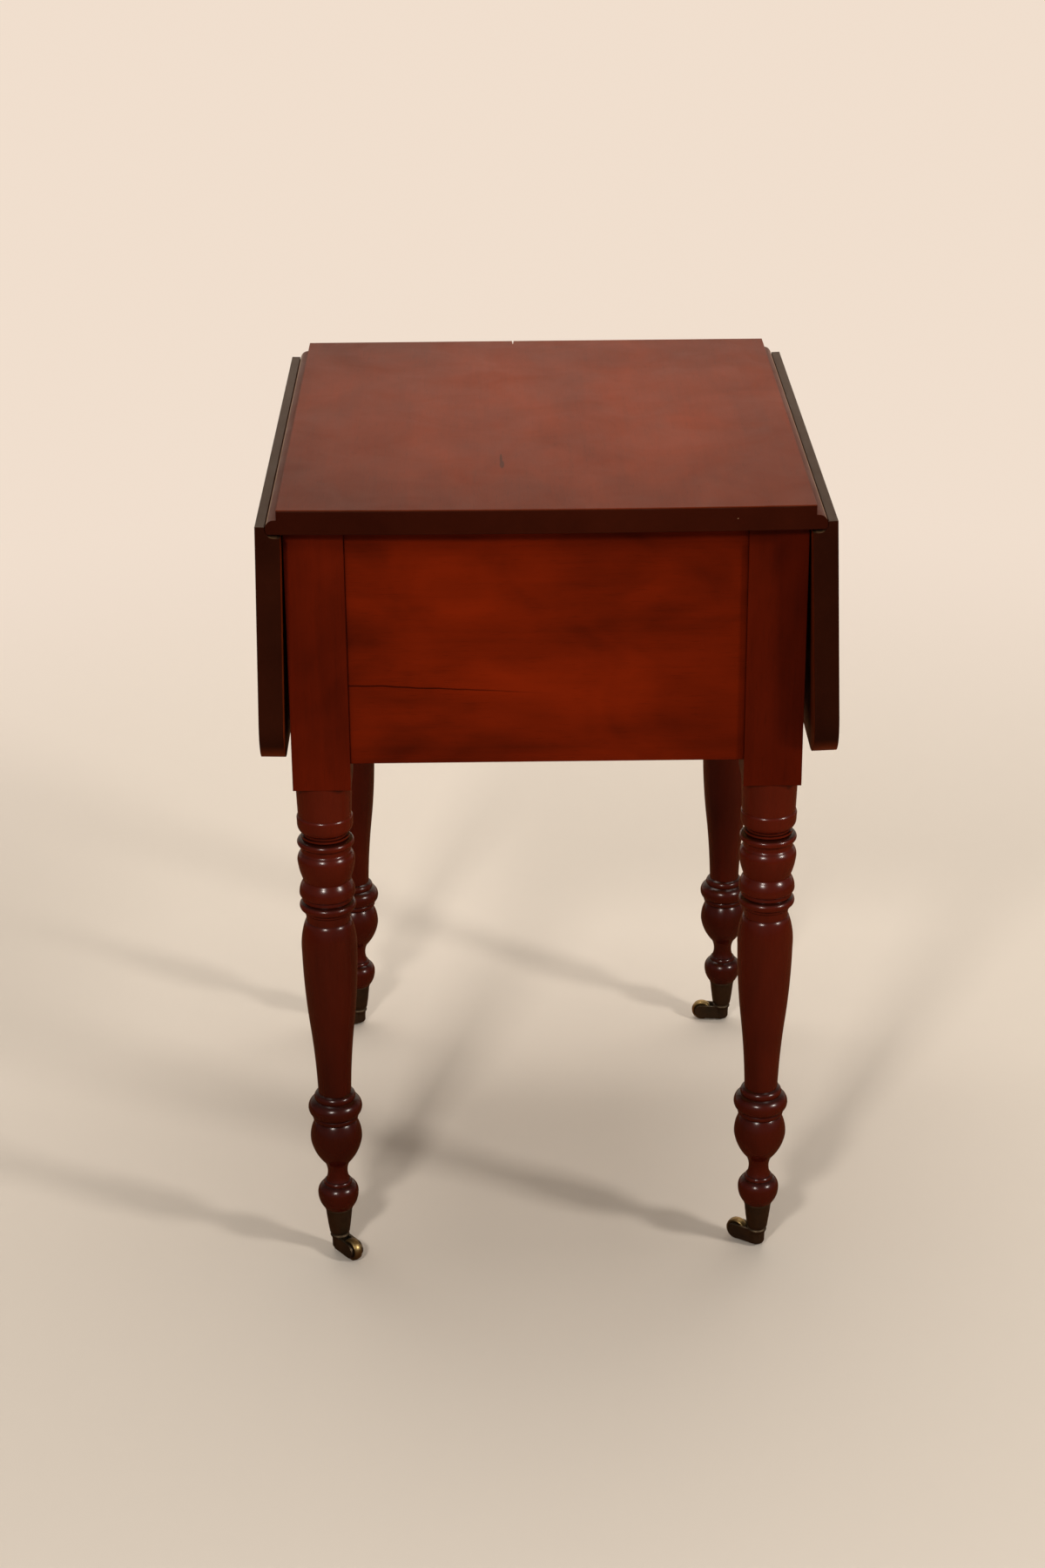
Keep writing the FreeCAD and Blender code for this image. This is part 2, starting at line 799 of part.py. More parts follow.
def make_back_panel():
    """The plain board between the back posts."""
    across = (-S.inner_x, S.inner_x)
    y = (S.panel_outer, S.panel_outer + S.panel_thick)
    board = box("panel_board", across, y, (S.case_bottom, S.case_top))
    middle = S.panel_outer + S.panel_thick / 2
    past = S.inner_x + S.tenon_length
    z = (S.case_bottom + S.tenon_shoulder, S.case_top - S.tenon_shoulder)
    thick = (middle - S.tenon_thick / 2, middle + S.tenon_thick / 2)
    tenon = box("panel_tenon", (-past, past), thick, z)
    node("back_panel", fuse("panel_body", board, tenon))


FINGERS = 3


def finger_levels(number):
    """The level of one finger of a wooden knuckle joint, counted from the top."""
    pitch = S.arm_height / FINGERS
    high = S.case_top - pitch * number
    return high - pitch, high


# The curve under a support arm: the ends of its two arcs and their middles, each as shares of
# its run past the knuckles and of its rise
ARM_CURVE_SHARES = [(0.30, 0.0), (0.56, 0.5), (0.82, 1.0)]
ARM_MIDDLE_SHARES = [(0.44, 0.16), (0.68, 0.84)]


def arm_outline(gap, shoulder, top):
    """The side view of a support arm past its knuckles, or of its notch with a gap around it."""
    near_end = shoulder - S.arm_pivot
    run = S.arm_length - shoulder
    low = S.case_top - S.arm_height - gap
    rise = S.arm_height - S.arm_gap - S.arm_tip_height
    far = near_end + run
    if sized(gap).value:
        far = far + S.arm_end_gap

    def at(run_share, rise_share):
        return near_end + run * run_share + gap, low + rise * rise_share

    start = (near_end, low)
    steps = [(at(*ARM_CURVE_SHARES[0]),)]
    steps.append((at(*ARM_MIDDLE_SHARES[0]), at(*ARM_CURVE_SHARES[1])))
    steps.append((at(*ARM_MIDDLE_SHARES[1]), at(*ARM_CURVE_SHARES[2])))
    steps.append(((far, low + rise),))
    steps.append(((far, top),))
    steps.append(((near_end, top),))
    return start, steps


def make_side(side):
    """A side board with its leaf support: an arm on a wooden knuckle joint, folded away."""
    way = SIDES[side]
    x = (S.side_inner * way, S.side_outer * way)
    centre = (S.side_inner + S.side_outer) / 2 * way
    barrel = S.side_thick / 2
    shoulder = barrel + S.arm_gap
    pivot = -S.arm_pivot
    low = S.case_top - S.arm_height
    board = box(f"{side}_board", x, (-S.inner_y, S.inner_y), (S.case_bottom, S.case_top))
    middle = (centre - S.tenon_thick / 2, centre + S.tenon_thick / 2)
    past = S.inner_y + S.tenon_length
    z = (S.case_bottom + S.tenon_shoulder, S.case_top - S.tenon_shoulder)
    tenons = box(f"{side}_tenons", middle, (-past, past), z)
    clear_x = ((S.side_inner - S.overrun) * way, (S.side_outer + S.overrun) * way)
    past = S.case_top + S.overrun
    clear_y = (pivot - shoulder, pivot + shoulder)
    knuckle_notch = box(f"{side}_knuckle_notch", clear_x, clear_y, (low - S.arm_gap, past))
    start, steps = arm_outline(S.arm_gap, shoulder, past)
    arm_notch, outline = body_with(f"{side}_arm_notch", "YZ", (start, steps))
    pad(arm_notch, outline, S.side_thick + S.overrun * 2)
    place(arm_notch, clear_x[0] if way > 0 else clear_x[1])
    tenoned = fuse(f"{side}_tenoned", board, tenons)
    notched = cut(f"{side}_notched", tenoned, knuckle_notch, arm_notch)
    fixed = [notched]
    moving = []
    play = S.knuckle_gap / 2
    for number in range(FINGERS):
        z_low, z_high = finger_levels(number)
        if number:
            z_high = z_high - play
        z_low = z_low + play
        if number == FINGERS - 1:
            z_low = low - S.arm_gap
        tag = f"{side}_{number}"
        at = (centre, pivot, z_low)
        if number % 2 == 0:
            fixed.append(rod(f"fixed_barrel_{tag}", barrel, z_high - z_low, at))
            web = box(f"fixed_finger_{tag}", x, (pivot - shoulder, pivot), (z_low, z_high))
            fixed.append(web)
        else:
            moving.append(rod(f"arm_barrel_{tag}", barrel, z_high - z_low, at))
            moving.append(box(f"arm_finger_{tag}", x, (pivot, pivot + shoulder), (z_low, z_high)))
    pin_low = low - S.arm_pin_seat
    pin_length = S.arm_height + S.arm_pin_seat - S.arm_gap
    bore = rod(
        f"{side}_arm_bore", S.arm_pin_radius, pin_length + S.overrun, (centre, pivot, pin_low)
    )
    node(f"side_board_{side}", cut(f"{side}_side_cut", fuse(f"{side}_side", *fixed), bore))

    start, steps = arm_outline(0, shoulder, S.case_top - S.arm_gap)
    body, outline = body_with(f"{side}_arm_blank", "YZ", (start, steps))
    pad(body, outline, S.side_thick)
    place(body, x[0] if way > 0 else x[1])
    arm_bore = rod(
        f"{side}_finger_bore",
        S.arm_pin_radius + S.pin_play,
        pin_length,
        (centre, pivot, pin_low),
    )
    node(f"support_arm_{side}", cut(f"{side}_arm_cut", fuse(f"{side}_arm", body, *moving), arm_bore))
    return rod(f"{side}_arm_pin", S.arm_pin_radius, pin_length, (centre, pivot, pin_low))


def make_case_inside():
    """What guides the drawers, backs the support arms and holds the top."""
    length = (-S.inner_y, S.inner_y)
    runners = []
    guides = []
    kickers = []
    stops = []
    for side, way in SIDES.items():
        x = (S.backing_inner * way, S.side_inner * way)
        backing = box(f"{side}_backing", x, length, (S.case_top - S.backing_height, S.case_top))
        node(f"backing_rail_{side}", backing)
        for level, floor in (("upper", S.middle_rail_high), ("lower", S.bottom_rail_high)):
            x = (S.runner_inner * way, S.side_inner * way)
            z = (floor - S.runner_thick, floor)
            runners.append(box(f"{level}_runner_{side}", x, length, z))
            x = (S.inner_x * way, S.side_inner * way)
            guides.append(box(f"{level}_guide_{side}", x, length, (floor, floor + S.guide_height)))
            x = ((S.stop_spread - S.stop_width / 2) * way, (S.stop_spread + S.stop_width / 2) * way)
            y = drawer_front_back() - S.stop_gap
            z = (floor, floor + S.stop_height)
            stops.append(box(f"{level}_stop_{side}", x, (y - S.stop_length, y), z))
        x = (S.runner_inner * way, S.backing_inner * way)
        kickers.append(box(f"kicker_{side}", x, length, (S.top_rail_low, S.case_top)))
    node("drawer_runners", group("runner_group", runners))
    node("drawer_guides", group("guide_group", guides))
    node("kickers", group("kicker_group", kickers))
    node("drawer_stops", group("stop_group", stops))


def drawer_front_back():
    """The plane of the drawer fronts' inner faces."""
    return S.rail_face - S.drawer_front_thick


# The widest part of a dovetail, as a share of the space between two of them
TAIL_SHARE = 0.62


def tail_outlines(low, high, root_y, end_y):
    """The dovetails of a drawer side's end, wider at the end than at the root."""
    count = round((high.value - low.value) / S.tail_pitch.value)
    pitch = (high - low) / count
    half = pitch * (TAIL_SHARE / 2)
    outlines = []
    for number in range(count):
        middle = low + pitch * (number + 0.5)
        start = (root_y, middle - half + S.dovetail_flare)
        steps = [((end_y, middle - half),), ((end_y, middle + half),)]
        steps.append(((root_y, middle + half - S.dovetail_flare),))
        outlines.append((start, steps))
    return outlines


def knob_outline():
    """Half the section of a turned knob along Y: spigot, neck and flat head."""
    front = S.rail_face
    end = front + S.knob_projection
    under = end - S.knob_head_thick
    start = (drawer_front_back(), 0)
    steps = [((drawer_front_back(), S.knob_spigot_radius),), ((front, S.knob_spigot_radius),)]
    steps.append(((front, S.knob_neck_radius),))
    steps.append(((under, S.knob_neck_radius),))
    steps.append(((under, S.knob_radius),))
    steps.append(((end - S.knob_bevel, S.knob_radius),))
    steps.append(((end, S.knob_radius - S.knob_bevel),))
    steps.append(((end, 0),))
    return start, steps


def make_drawer(level, floor, opening):
    """One drawer: dovetailed front and sides, a back and a bottom in grooves, two knobs."""
    outer = S.inner_x - S.drawer_side_gap
    inner = outer - S.drawer_wall
    low = floor + S.drawer_run_gap
    high = floor + opening - S.drawer_top_gap
    wall_high = high - S.drawer_wall_drop
    front_back = drawer_front_back()
    back_end = S.panel_outer + S.panel_thick + S.drawer_tail_room
    back_front = back_end + S.drawer_wall
    bottom_low = low + S.drawer_bottom_rise
    bottom_high = bottom_low + S.drawer_bottom_thick
    tail_end = S.rail_face - S.drawer_lap
    groove = inner + S.drawer_groove

    tails = {}
    for side, way in SIDES.items():
        for end, root_y, end_y in (("front", front_back, tail_end), ("back", back_front, back_end)):
            bottom_of_tails = low if end == "front" else bottom_high
            outlines = tail_outlines(bottom_of_tails, wall_high, root_y, end_y)
            body, outline = body_with(f"{level}_{side}_{end}_tails", "YZ", *outlines)
            pad(body, outline, S.drawer_wall)
            place(body, inner if way > 0 else -outer)
            tails[side, end] = body
        x = (inner * way, outer * way)
        side_box = box(f"{level}_{side}_wall", x, (back_front, front_back), (low, wall_high))
        solid = fuse(f"{level}_{side}_solid", side_box, tails[side, "front"], tails[side, "back"])
        slot_x = ((inner - S.overrun) * way, groove * way)
        slot_y = (back_end - S.overrun, front_back + S.drawer_groove)
        slot = box(f"{level}_{side}_slot", slot_x, slot_y, (bottom_low, bottom_high))
        node(f"{level}_drawer_side_{side}", cut(f"{level}_{side}_side", solid, slot))

    front = box(f"{level}_front_board", (-outer, outer), (front_back, S.rail_face), (low, high))
    slot = box(
        f"{level}_front_slot",
        (-groove, groove),
        (front_back - S.overrun, front_back + S.drawer_groove),
        (bottom_low, bottom_high),
    )
    knobs = []
    middle = (low + high) / 2
    holes = []
    for way in (-1, 1):
        at = (S.knob_spread * way, front_back, middle)
        name = f"{level}_knob_hole_{way}"
        holes.append(rod(name, S.knob_spigot_radius, S.drawer_front_thick, at, "Y"))
        body, outline = body_with(f"{level}_knob_{way}", "YZ", knob_outline())
        revolve(body, outline, "H_Axis")
        place(body, S.knob_spread * way, 0, middle)
        knobs.append(body)
    sockets = [tails["left", "front"], tails["right", "front"]]
    node(f"{level}_drawer_front", cut(f"{level}_front_cut", front, slot, *holes, *sockets))

    back = box(f"{level}_back_board", (-outer, outer), (back_end, back_front), (bottom_high, wall_high))
    pins = [tails["left", "back"], tails["right", "back"]]
    node(f"{level}_drawer_back", cut(f"{level}_back_cut", back, *pins))
    y = (back_end, front_back + S.drawer_groove)
    bottom = box(f"{level}_bottom_board", (-groove, groove), y, (bottom_low, bottom_high))
    node(f"{level}_drawer_bottom", bottom)
    node(f"{level}_drawer_knobs", group(f"{level}_knob_group", knobs))


def cup_outline():
    """Half the section of a caster cup: a tapering shell with a lip, and a hole for the spindle."""
    rim, foot = cup_inside_points()
    hole = S.spindle_radius + S.pin_play
    start = (hole, S.cup_foot_height)
    steps = [((S.cup_foot_radius, S.cup_foot_height),)]
    steps.append(((S.cup_rim_radius, S.cup_rim_height - S.cup_lip),))
    steps.append(((S.cup_rim_radius, S.cup_rim_height),))
    steps.extend([(rim,), (foot,), ((hole, foot[1]),)])
    return start, steps


def horn_outline():
    """Half the section of the horn's upright: boss and spindle."""
    collar_high = S.cup_foot_height - S.swivel_gap
    start = (0, S.boss_floor_gap)
    steps = [((S.boss_radius, S.boss_floor_gap),)]
    steps.append(((S.boss_radius, collar_high),))
    steps.append(((S.spindle_radius, collar_high),))
    steps.append(((S.spindle_radius, S.cup_foot_height + S.spindle_length),))
    steps.append(((0, S.cup_foot_height + S.spindle_length),))
    return start, steps


def cheek_outline():
    """A horn's cheek: from the boss to a round end about the axle."""
    start = (0, S.boss_floor_gap)
    steps = [((S.caster_trail, S.wheel_radius - S.cheek_radius),)]
    steps.append(
        (
            (S.caster_trail + S.cheek_radius, S.wheel_radius),
            (S.caster_trail, S.wheel_radius + S.cheek_radius),
        )
    )
    steps.append(((0, S.cup_foot_height - S.swivel_gap - S.cheek_drop),))
    return start, steps


def wheel_outline():
    """Half the section of a wheel about its axle."""
    half = S.wheel_width / 2
    hole = S.axle_radius + S.pin_play
    start = (hole, -half)
    steps = [((S.wheel_radius, -half),), ((S.wheel_radius, half),), ((hole, half),)]
    return start, steps


def swivel(thing, end, side):
    """Puts a caster's piece under its leg, trailing at its angle."""
    base = f"{(S.leg_x * SIDES[side]).text}; {(S.leg_y * ENDS[end]).text}; 0"
    turn = f"rotation(vector(0; 0; 1); Sheet.trail_{end}_{side})"
    thing.setExpression(".Placement", f"placement(vector({base}); {turn})")
    return thing


def make_caster(end, side):
    """A brass cup caster: a swivelling horn with its axle, a wheel, and the cup it returns."""
    tag = f"{end}_{side}"
    cup, outline = body_with(f"cup_{tag}", "XZ", cup_outline())
    revolve(cup, outline)
    place(cup, S.leg_x * SIDES[side], S.leg_y * ENDS[end])

    upright, outline = body_with(f"upright_{tag}", "XZ", horn_outline())
    revolve(upright, outline)
    inner = S.wheel_width / 2 + S.wheel_play
    outer = inner + S.cheek_thick
    parts = [upright]
    for way in (-1, 1):
        name = f"cheek_{tag}_{'near' if way < 0 else 'far'}"
        cheek, outline = body_with(name, "XZ", cheek_outline())
        pad(cheek, outline, S.cheek_thick)
        place(cheek, 0, outer if way > 0 else -inner)
        parts.append(cheek)
    # the axle is riveted over in the cheeks, so it is part of the horn
    at = (S.caster_trail, -outer, S.wheel_radius)
    parts.append(rod(f"axle_{tag}", S.axle_radius, outer * 2, at, "Y"))
    node(f"caster_horn_{tag}", swivel(fuse(f"horn_body_{tag}", *parts), end, side))

    wheel, outline = body_with(f"wheel_{tag}", "XY", wheel_outline())
    revolve(wheel, outline)
    place(wheel, S.caster_trail, 0, S.wheel_radius)
    set_wheel = group(f"wheel_set_{tag}", [wheel])
    node(f"caster_wheel_{tag}", swivel(set_wheel, end, side))

    return cup


make_top()
for side_name in SIDES:
    make_leaf(side_name)
make_hinges()
cups = []
for end_name in ENDS:
    for side_name in SIDES:
        make_leg(end_name, side_name)
        cups.append(make_caster(end_name, side_name))
node("caster_cups", group("cup_group", cups))
make_back_panel()
make_rails()
arm_pins = [make_side(side_name) for side_name in SIDES]
node("support_arm_pins", group("arm_pin_group", arm_pins))
make_case_inside()
make_drawer("upper", S.middle_rail_high, S.upper_opening)
make_drawer("lower", S.bottom_rail_high, S.lower_opening)

doc.recompute()

for thing in doc.Objects:
    if "Invalid" in thing.State or "Error" in thing.State:
        raise RuntimeError(f"{thing.Label} did not build: {thing.State}")
for thing in NODES:
    if thing.Shape.isNull() or not thing.Shape.isValid() or not thing.Shape.Solids:
        raise RuntimeError(f"{thing.Label} has no valid solid")

os.makedirs("parts", exist_ok=True)
for thing in NODES:
    thing.Shape.exportStep(f"parts/{thing.Label}.step")
print(len(NODES), "nodes")
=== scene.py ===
import json
import math

import bpy
from mathutils import Matrix, Vector


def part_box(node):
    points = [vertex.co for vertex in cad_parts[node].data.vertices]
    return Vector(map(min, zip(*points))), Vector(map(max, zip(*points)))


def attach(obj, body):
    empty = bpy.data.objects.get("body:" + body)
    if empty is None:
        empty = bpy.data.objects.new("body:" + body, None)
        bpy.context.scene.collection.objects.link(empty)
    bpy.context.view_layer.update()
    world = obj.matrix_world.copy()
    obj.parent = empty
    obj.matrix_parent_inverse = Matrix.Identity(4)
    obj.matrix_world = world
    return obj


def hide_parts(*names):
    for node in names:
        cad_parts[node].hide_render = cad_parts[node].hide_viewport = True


# Looks of the drop-leaf work table, in metres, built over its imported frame.
# Forms that the CAD keeps light are drawn here in full: the turned legs, the cups, collars and
# wheels of the casters, and the screws.

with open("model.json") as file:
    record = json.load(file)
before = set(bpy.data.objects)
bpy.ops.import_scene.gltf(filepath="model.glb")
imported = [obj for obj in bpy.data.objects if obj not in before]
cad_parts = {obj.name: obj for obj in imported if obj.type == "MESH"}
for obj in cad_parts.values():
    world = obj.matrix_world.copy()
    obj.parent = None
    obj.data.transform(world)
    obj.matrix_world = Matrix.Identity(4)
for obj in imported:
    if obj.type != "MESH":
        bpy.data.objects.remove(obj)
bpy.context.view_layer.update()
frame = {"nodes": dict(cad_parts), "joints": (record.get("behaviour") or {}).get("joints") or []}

# Camera, fitted to the photograph
PHOTO_WIDE, PHOTO_HIGH = 1200, 1800
FOCAL_PIXELS = 3386.4
PITCH, YAW, ROLL = (math.radians(angle) for angle in (23.431, 0.537, -0.431))
EYE = Vector((-0.0414, -2.4707, 1.4291))
SENSOR_HIGH = 36.0
CLIP_END = 50.0

# Names of the legs' ends and sides with the way each side lies along X, each axis's place in a
# vector, and a square's corners
ENDS = ("back", "front")
SIDES = {"left": -1, "right": 1}
AXES = {"X": 0, "Y": 1, "Z": 2}
CORNERS = ((-1, -1), (1, -1), (1, 1), (-1, 1))

# Sizes that the frame doesn't give
POST_LENGTH = 0.2277
LEANS = {"left": math.radians(1.3), "right": math.radians(-2.3)}
HINGE_WIDTH = 0.036
PLATE_LENGTHS = {"top": 0.032, "leaf": 0.042}
PLATE_FACE = 0.0043
COLLAR_FOOT = 0.0034
WHEEL_WIDTH = 0.0076
SCREW_RADIUS = 0.0031
SCREW_DOME = 0.0004
SCREW_SLOT = 0.0007
SCREW_RING_SHARES = [(1.0, 0.0), (0.9, 0.7), (0.45, 1.0)]
KICKER_SCREW_OUT = 0.93
KICKER_SCREW_SPREAD = 0.75

# Fineness of the round shapes
ROUND_STEPS = 96
ARC_STEPS = 10
SCREW_STEPS = 24
SHARP_ANGLE = math.radians(32)

# A leg's turning, from its foot on the cup up to the square: each step's end, or its middle and
# end, as shares of the turning's radius and of its height above the cup
TURNING_SHARES = [
    ((0.518, 0.0),), ((0.690, 0.0165), (0.752, 0.0360)), ((0.700, 0.0500), (0.523, 0.0600)),
    ((0.517, 0.0629), (0.475, 0.0668)), ((0.441, 0.0682),), ((0.369, 0.0885), (0.475, 0.1125)),
    ((0.765, 0.1368), (0.945, 0.1690)), ((0.905, 0.1945), (0.765, 0.2146)), ((0.748, 0.2158),),
    ((0.790, 0.2172),), ((0.836, 0.2226), (0.811, 0.2284)), ((0.853, 0.2294),),
    ((0.985, 0.2434), (0.739, 0.2672)), ((0.748, 0.2745), (0.655, 0.2815)), ((0.605, 0.2830),),
    ((0.664, 0.3560), (0.788, 0.4359)), ((0.932, 0.5257), (0.992, 0.6156)),
    ((0.957, 0.6568), (0.832, 0.6850)), ((0.786, 0.6875),), ((0.782, 0.6899),),
    ((0.800, 0.7040),), ((0.850, 0.7070),), ((0.850, 0.7110),), ((0.900, 0.7125),),
    ((1.005, 0.7225), (0.880, 0.7320)), ((0.860, 0.7330),), ((0.905, 0.7355),), ((0.890, 0.7400),),
    ((0.880, 0.7420),), ((0.980, 0.7470), (0.993, 0.7535)), ((0.940, 0.7680), (0.848, 0.7775)),
    ((0.832, 0.7800),), ((0.945, 0.7990), (1.014, 0.8205)), ((0.990, 0.8350), (0.885, 0.8440)),
    ((0.865, 0.8470),), ((0.865, 0.8560),), ((0.915, 0.8572),), ((1.012, 0.8655), (0.900, 0.8735)),
    ((0.815, 0.8748),), ((0.860, 0.8775),), ((0.850, 0.8815),), ((0.790, 0.8825),), ((0.785, 0.8865),),
    ((0.925, 0.8940), (0.986, 0.9070)), ((0.992, 0.9170),), ((0.984, 0.9225), (0.945, 0.9260)),
    ((0.948, 0.9290),), ((0.992, 1.0),), ((0.0, 1.0),),
]
# The turning's radius as a share of the square's width
TURNING_RADIUS_SHARE = 0.4958
# A caster cup's outside, from its foot up to its rim, and its inside wall, as shares of the rim's
# radius and of the cup's height
CUP_SHARES = [
    ((0.230, 0.0),), ((0.690, 0.0),), ((0.725, 0.02),), ((0.835, 0.40), (0.930, 0.80)),
    ((0.955, 0.925),), ((0.985, 0.930),), ((1.000, 0.965), (0.985, 1.0)), ((0.905, 1.0),),
    ((0.900, 0.93),),
]
# The collar of a caster's horn, from its foot up to the cup, as shares of the cup's rim and of
# the collar's height
COLLAR_SHARES = [
    ((0.30, 0.0),), ((0.48, 0.02), (0.56, 0.14)), ((0.565, 0.42), (0.59, 0.68)), ((0.63, 0.72),),
    ((0.69, 0.80), (0.63, 0.88)), ((0.60, 0.90),), ((0.61, 0.985),), ((0.30, 0.985),),
]
# A wheel's half section, round its hole, as shares of its radius and of half its width
WHEEL_SHARES = [
    ((0.20, -1.0),), ((0.36, -1.0),), ((0.42, -0.86),), ((0.56, -0.78), (0.72, -0.84)),
    ((0.88, -0.97), (0.96, -0.72)), ((1.0, 0.0), (0.96, 0.72)), ((0.88, 0.97), (0.72, 0.84)),
    ((0.56, 0.78), (0.42, 0.86)), ((0.36, 1.0),), ((0.20, 1.0),), ((0.20, -1.0),),
]
# Where the screws sit on a hinge plate: along its length from the pin, and across its width
PLATE_SCREW_SHARES = [(0.42, -0.32), (0.42, 0.32), (0.80, 0.0)]

# Colours of the light wood, the dark wood and the end grain
CHERRY = ((0.115, 0.0082, 0.0008), (0.040, 0.0034, 0.0006), (0.022, 0.0032, 0.0010))
DARK_CHERRY = ((0.080, 0.0058, 0.0008), (0.034, 0.0028, 0.0006), (0.020, 0.0030, 0.0010))
TOP = ((0.140, 0.0185, 0.0030), (0.074, 0.0102, 0.0022), (0.040, 0.0058, 0.0020))
LEAF = (TOP[0], TOP[1], (0.022, 0.0042, 0.0016))
PLAIN = ((0.36, 0.19, 0.08), (0.22, 0.11, 0.045), (0.16, 0.08, 0.035))
LINING = ((0.50, 0.31, 0.14), (0.34, 0.19, 0.08), (0.26, 0.14, 0.06))
# Colour of the polish's gloss, and colours of the rule joint's wear, the top edge's darker round,
# the painted highlight line along that round and a nick in the top edge
TINT = (1.0, 0.7, 0.55)
LIP = (0.034, 0.0165, 0.0080)
BARE = (0.085, 0.045, 0.022)
GLINT_COLOUR = (0.34, 0.21, 0.13)
ROUND_DARK = (0.045, 0.009, 0.003)
NICK = (0.33, 0.2, 0.12)

# Each pattern of the wood: its scale along the grain and across it, detail, roughness, distortion
GRAIN = {
    "bands": (2.2, 7.0, 2.0, 0.5, 0.0), "lines": (0.9, 26.0, 2.0, 0.5, 0.0),
    "streaks": (7.0, 210.0, 4.0, 0.65, 0.3), "pores": (70.0, 1500.0, 2.0, 0.6, 0.0),
    "clouds": (3.0, 9.0, 3.0, 0.55, 0.6), "patches": (11.0, 16.0, 2.0, 0.5, 1.2),
    "ripples": (6.0, 30.0, 2.0, 0.5, 0.0), "smudges": (17.0, 17.0, 4.0, 0.6, 0.8),
}
# How far a wood's seed shifts its patterns along each axis
SEED_SHIFT = (1.0, 1.7, 0.6)
# Growth rings: how many a band holds, and the level at which their tone turns back
RINGS, RING_TURN = 5.0, 0.5
# How strongly each pattern moves the tone, the first two times a wood's own mottle
CLOUD_WEIGHT, PATCH_WEIGHT, RING_WEIGHT, STREAK_WEIGHT = 2.6, 1.5, 0.245, 0.315
# Factors that turn a wood's own colours into others
SHADES = {"high": 1.4, "end_low": 0.6, "end_high": 1.3, "foot": 0.5, "grime_and_shade": 0.25, "crack": 0.12,
          "mark": 0.15}
# The tone at which a wood is light, the pores' limits and tone, where a face counts as end grain,
# and the heights between which painted shade darkens a leg towards its foot
LIGHT_PLACE = 0.55
PORE_LIMITS, PORE_TONE = (0.30, 0.42), 0.8
END_FACING = (0.55, 0.85)
FOOT_SHADE_HEIGHTS = (0.12, 0.50)
# Dirt and painted shade in corners and grooves, and what they and the smudges do to the polish
GRIME_AND_SHADE_REACH, GRIME_AND_SHADE_OPEN = 0.006, (0.25, 0.85)
GRIME_AND_SHADE_ROUGH, SMUDGE_ROUGH = 0.2, 0.2
# Relief
RIPPLE_HEIGHT, STREAK_HEIGHT, PORE_HEIGHT, SPECK_HEIGHT = 0.9, 0.1, 0.1, 0.5
WOOD_BUMP, METAL_BUMP = 0.16, 0.12
BUMP_DEPTH = 0.001
METAL_ROUNDING = 0.0003
RAY_SAMPLES = 6
# The Mix node's factor and its two colours among its inputs
MIX_INPUTS = (0, 6, 7)
# The metals' specks and clouds: scale, detail, roughness and distortion
SPECKS, METAL_CLOUDS = (260.0, 4.0, 0.6, 0.4), (43.333, 3.0, 0.55, 0.0)
# Where the metals are rubbed, and what that does to them
RUB_REACH, RUB_OPEN, RUB_CLOUD = 0.004, (0.55, 0.95), (0.35, 0.6)
SPECK_BRIGHT, RUB_BRIGHT, PATINA_ROUGH = 0.4, 0.8, 0.2

# Wear of the rule joint, and the top's darker round with a painted highlight line along it: where
# each mask begins and where it is full, in a normal's share or in metres from the hinge's pin
LIP_FACING, LIP_RISE = (0.5, 0.8), (-0.012, -0.010)
COVE_REACH, COVE_RISE = (0.0081, 0.0079), (-0.0062, -0.0066)
END_FACE, ROUND_STRENGTH = (0.4, 0.6), 0.6
ROUND_REACH, ROUND_ACROSS = (0.0078, 0.0076), (0.0002, 0.0008)
GLINT_INNER, GLINT_OUTER = (0.0048, 0.0056), (0.0068, 0.0062)

# The crack in the end board, along X, with its height at the middle of the table
PANEL_CRACK = {"start": -0.175, "end": 0.010, "width": 0.0008, "height": 0.5412, "slope": -0.05,
               "wander": 0.007}
# A crack's waves per metre, the share of its width that is full, the lengths over which it begins
# and fades, and its strength before it fades
CRACK_WAVES, CRACK_CORE = 13, 0.4
CRACK_START, CRACK_TAIL, CRACK_STRENGTH = 0.004, 0.1, 0.8
# Painted light and shade on a board, lightest at a middle and darker away from it: the middle,
# the reach along each axis, and the shade at that reach and in the middle
# On the top and the end board this is a painted pool of light, brightest towards the middle
TOP_PAINTED_LIGHT = ((0.045, 0.01, 0.705), (0.30, 0.345, 1.0), 0.60, 1.1)
PANEL_PAINTED_LIGHT = ((-0.07, -0.23, 0.60), (0.27, 1.0, 0.24), 0.72, 1.1)
# On the posts this is a painted shadow: lightest to the left, so the right post is darker
POST_PAINTED_SHADE = ((-0.25, -0.23, 0.60), (0.50, 2.0, 2.0), 0.70, 1.05)
# Small marks: each one's middle and its radius along each axis, then the share of the radius
# at which it begins and the one at which it is full
TOP_MARKS = [
    ((-0.0345, -0.138, 0.705), (0.0022, 0.012, 0.002)),
    ((-0.0352, -0.122, 0.705), (0.0012, 0.016, 0.002)),
]
TOP_NICKS = [((0.151, -0.2540, 0.6953), (0.0009, 0.003, 0.0006))]
MARK_EDGE, MARK_STRENGTH = (1.0, 0.7), 0.65

# Surroundings: the floor shows brown to the gloss of the pieces, and fades for the camera into
# the pale background between two distances from the middle
FLOOR_COLOUR = (0.60, 0.55, 0.49)
FLOOR_MIRRORED = (0.16, 0.075, 0.035)
FLOOR_HALF = 14.0
FLOOR_CLEAR, FLOOR_GONE = 0.6, 1.95
STAGE_ROUGH = 0.95
PALE = (0.875, 0.735, 0.615)
SCREEN_COLOUR = (0.83, 0.77, 0.705)
SCREEN_PLACE = 1.9
SCREEN_BEND = 0.9
SCREEN_STEPS = 20
SCREEN_HIGH = 5.0
SCREEN_HALF = 6.0
WORLD_COLOUR = (0.95, 0.92, 0.88)
WORLD_STRENGTH = 0.16
LIGHT_COLOUR = (1.0, 0.93, 0.85)
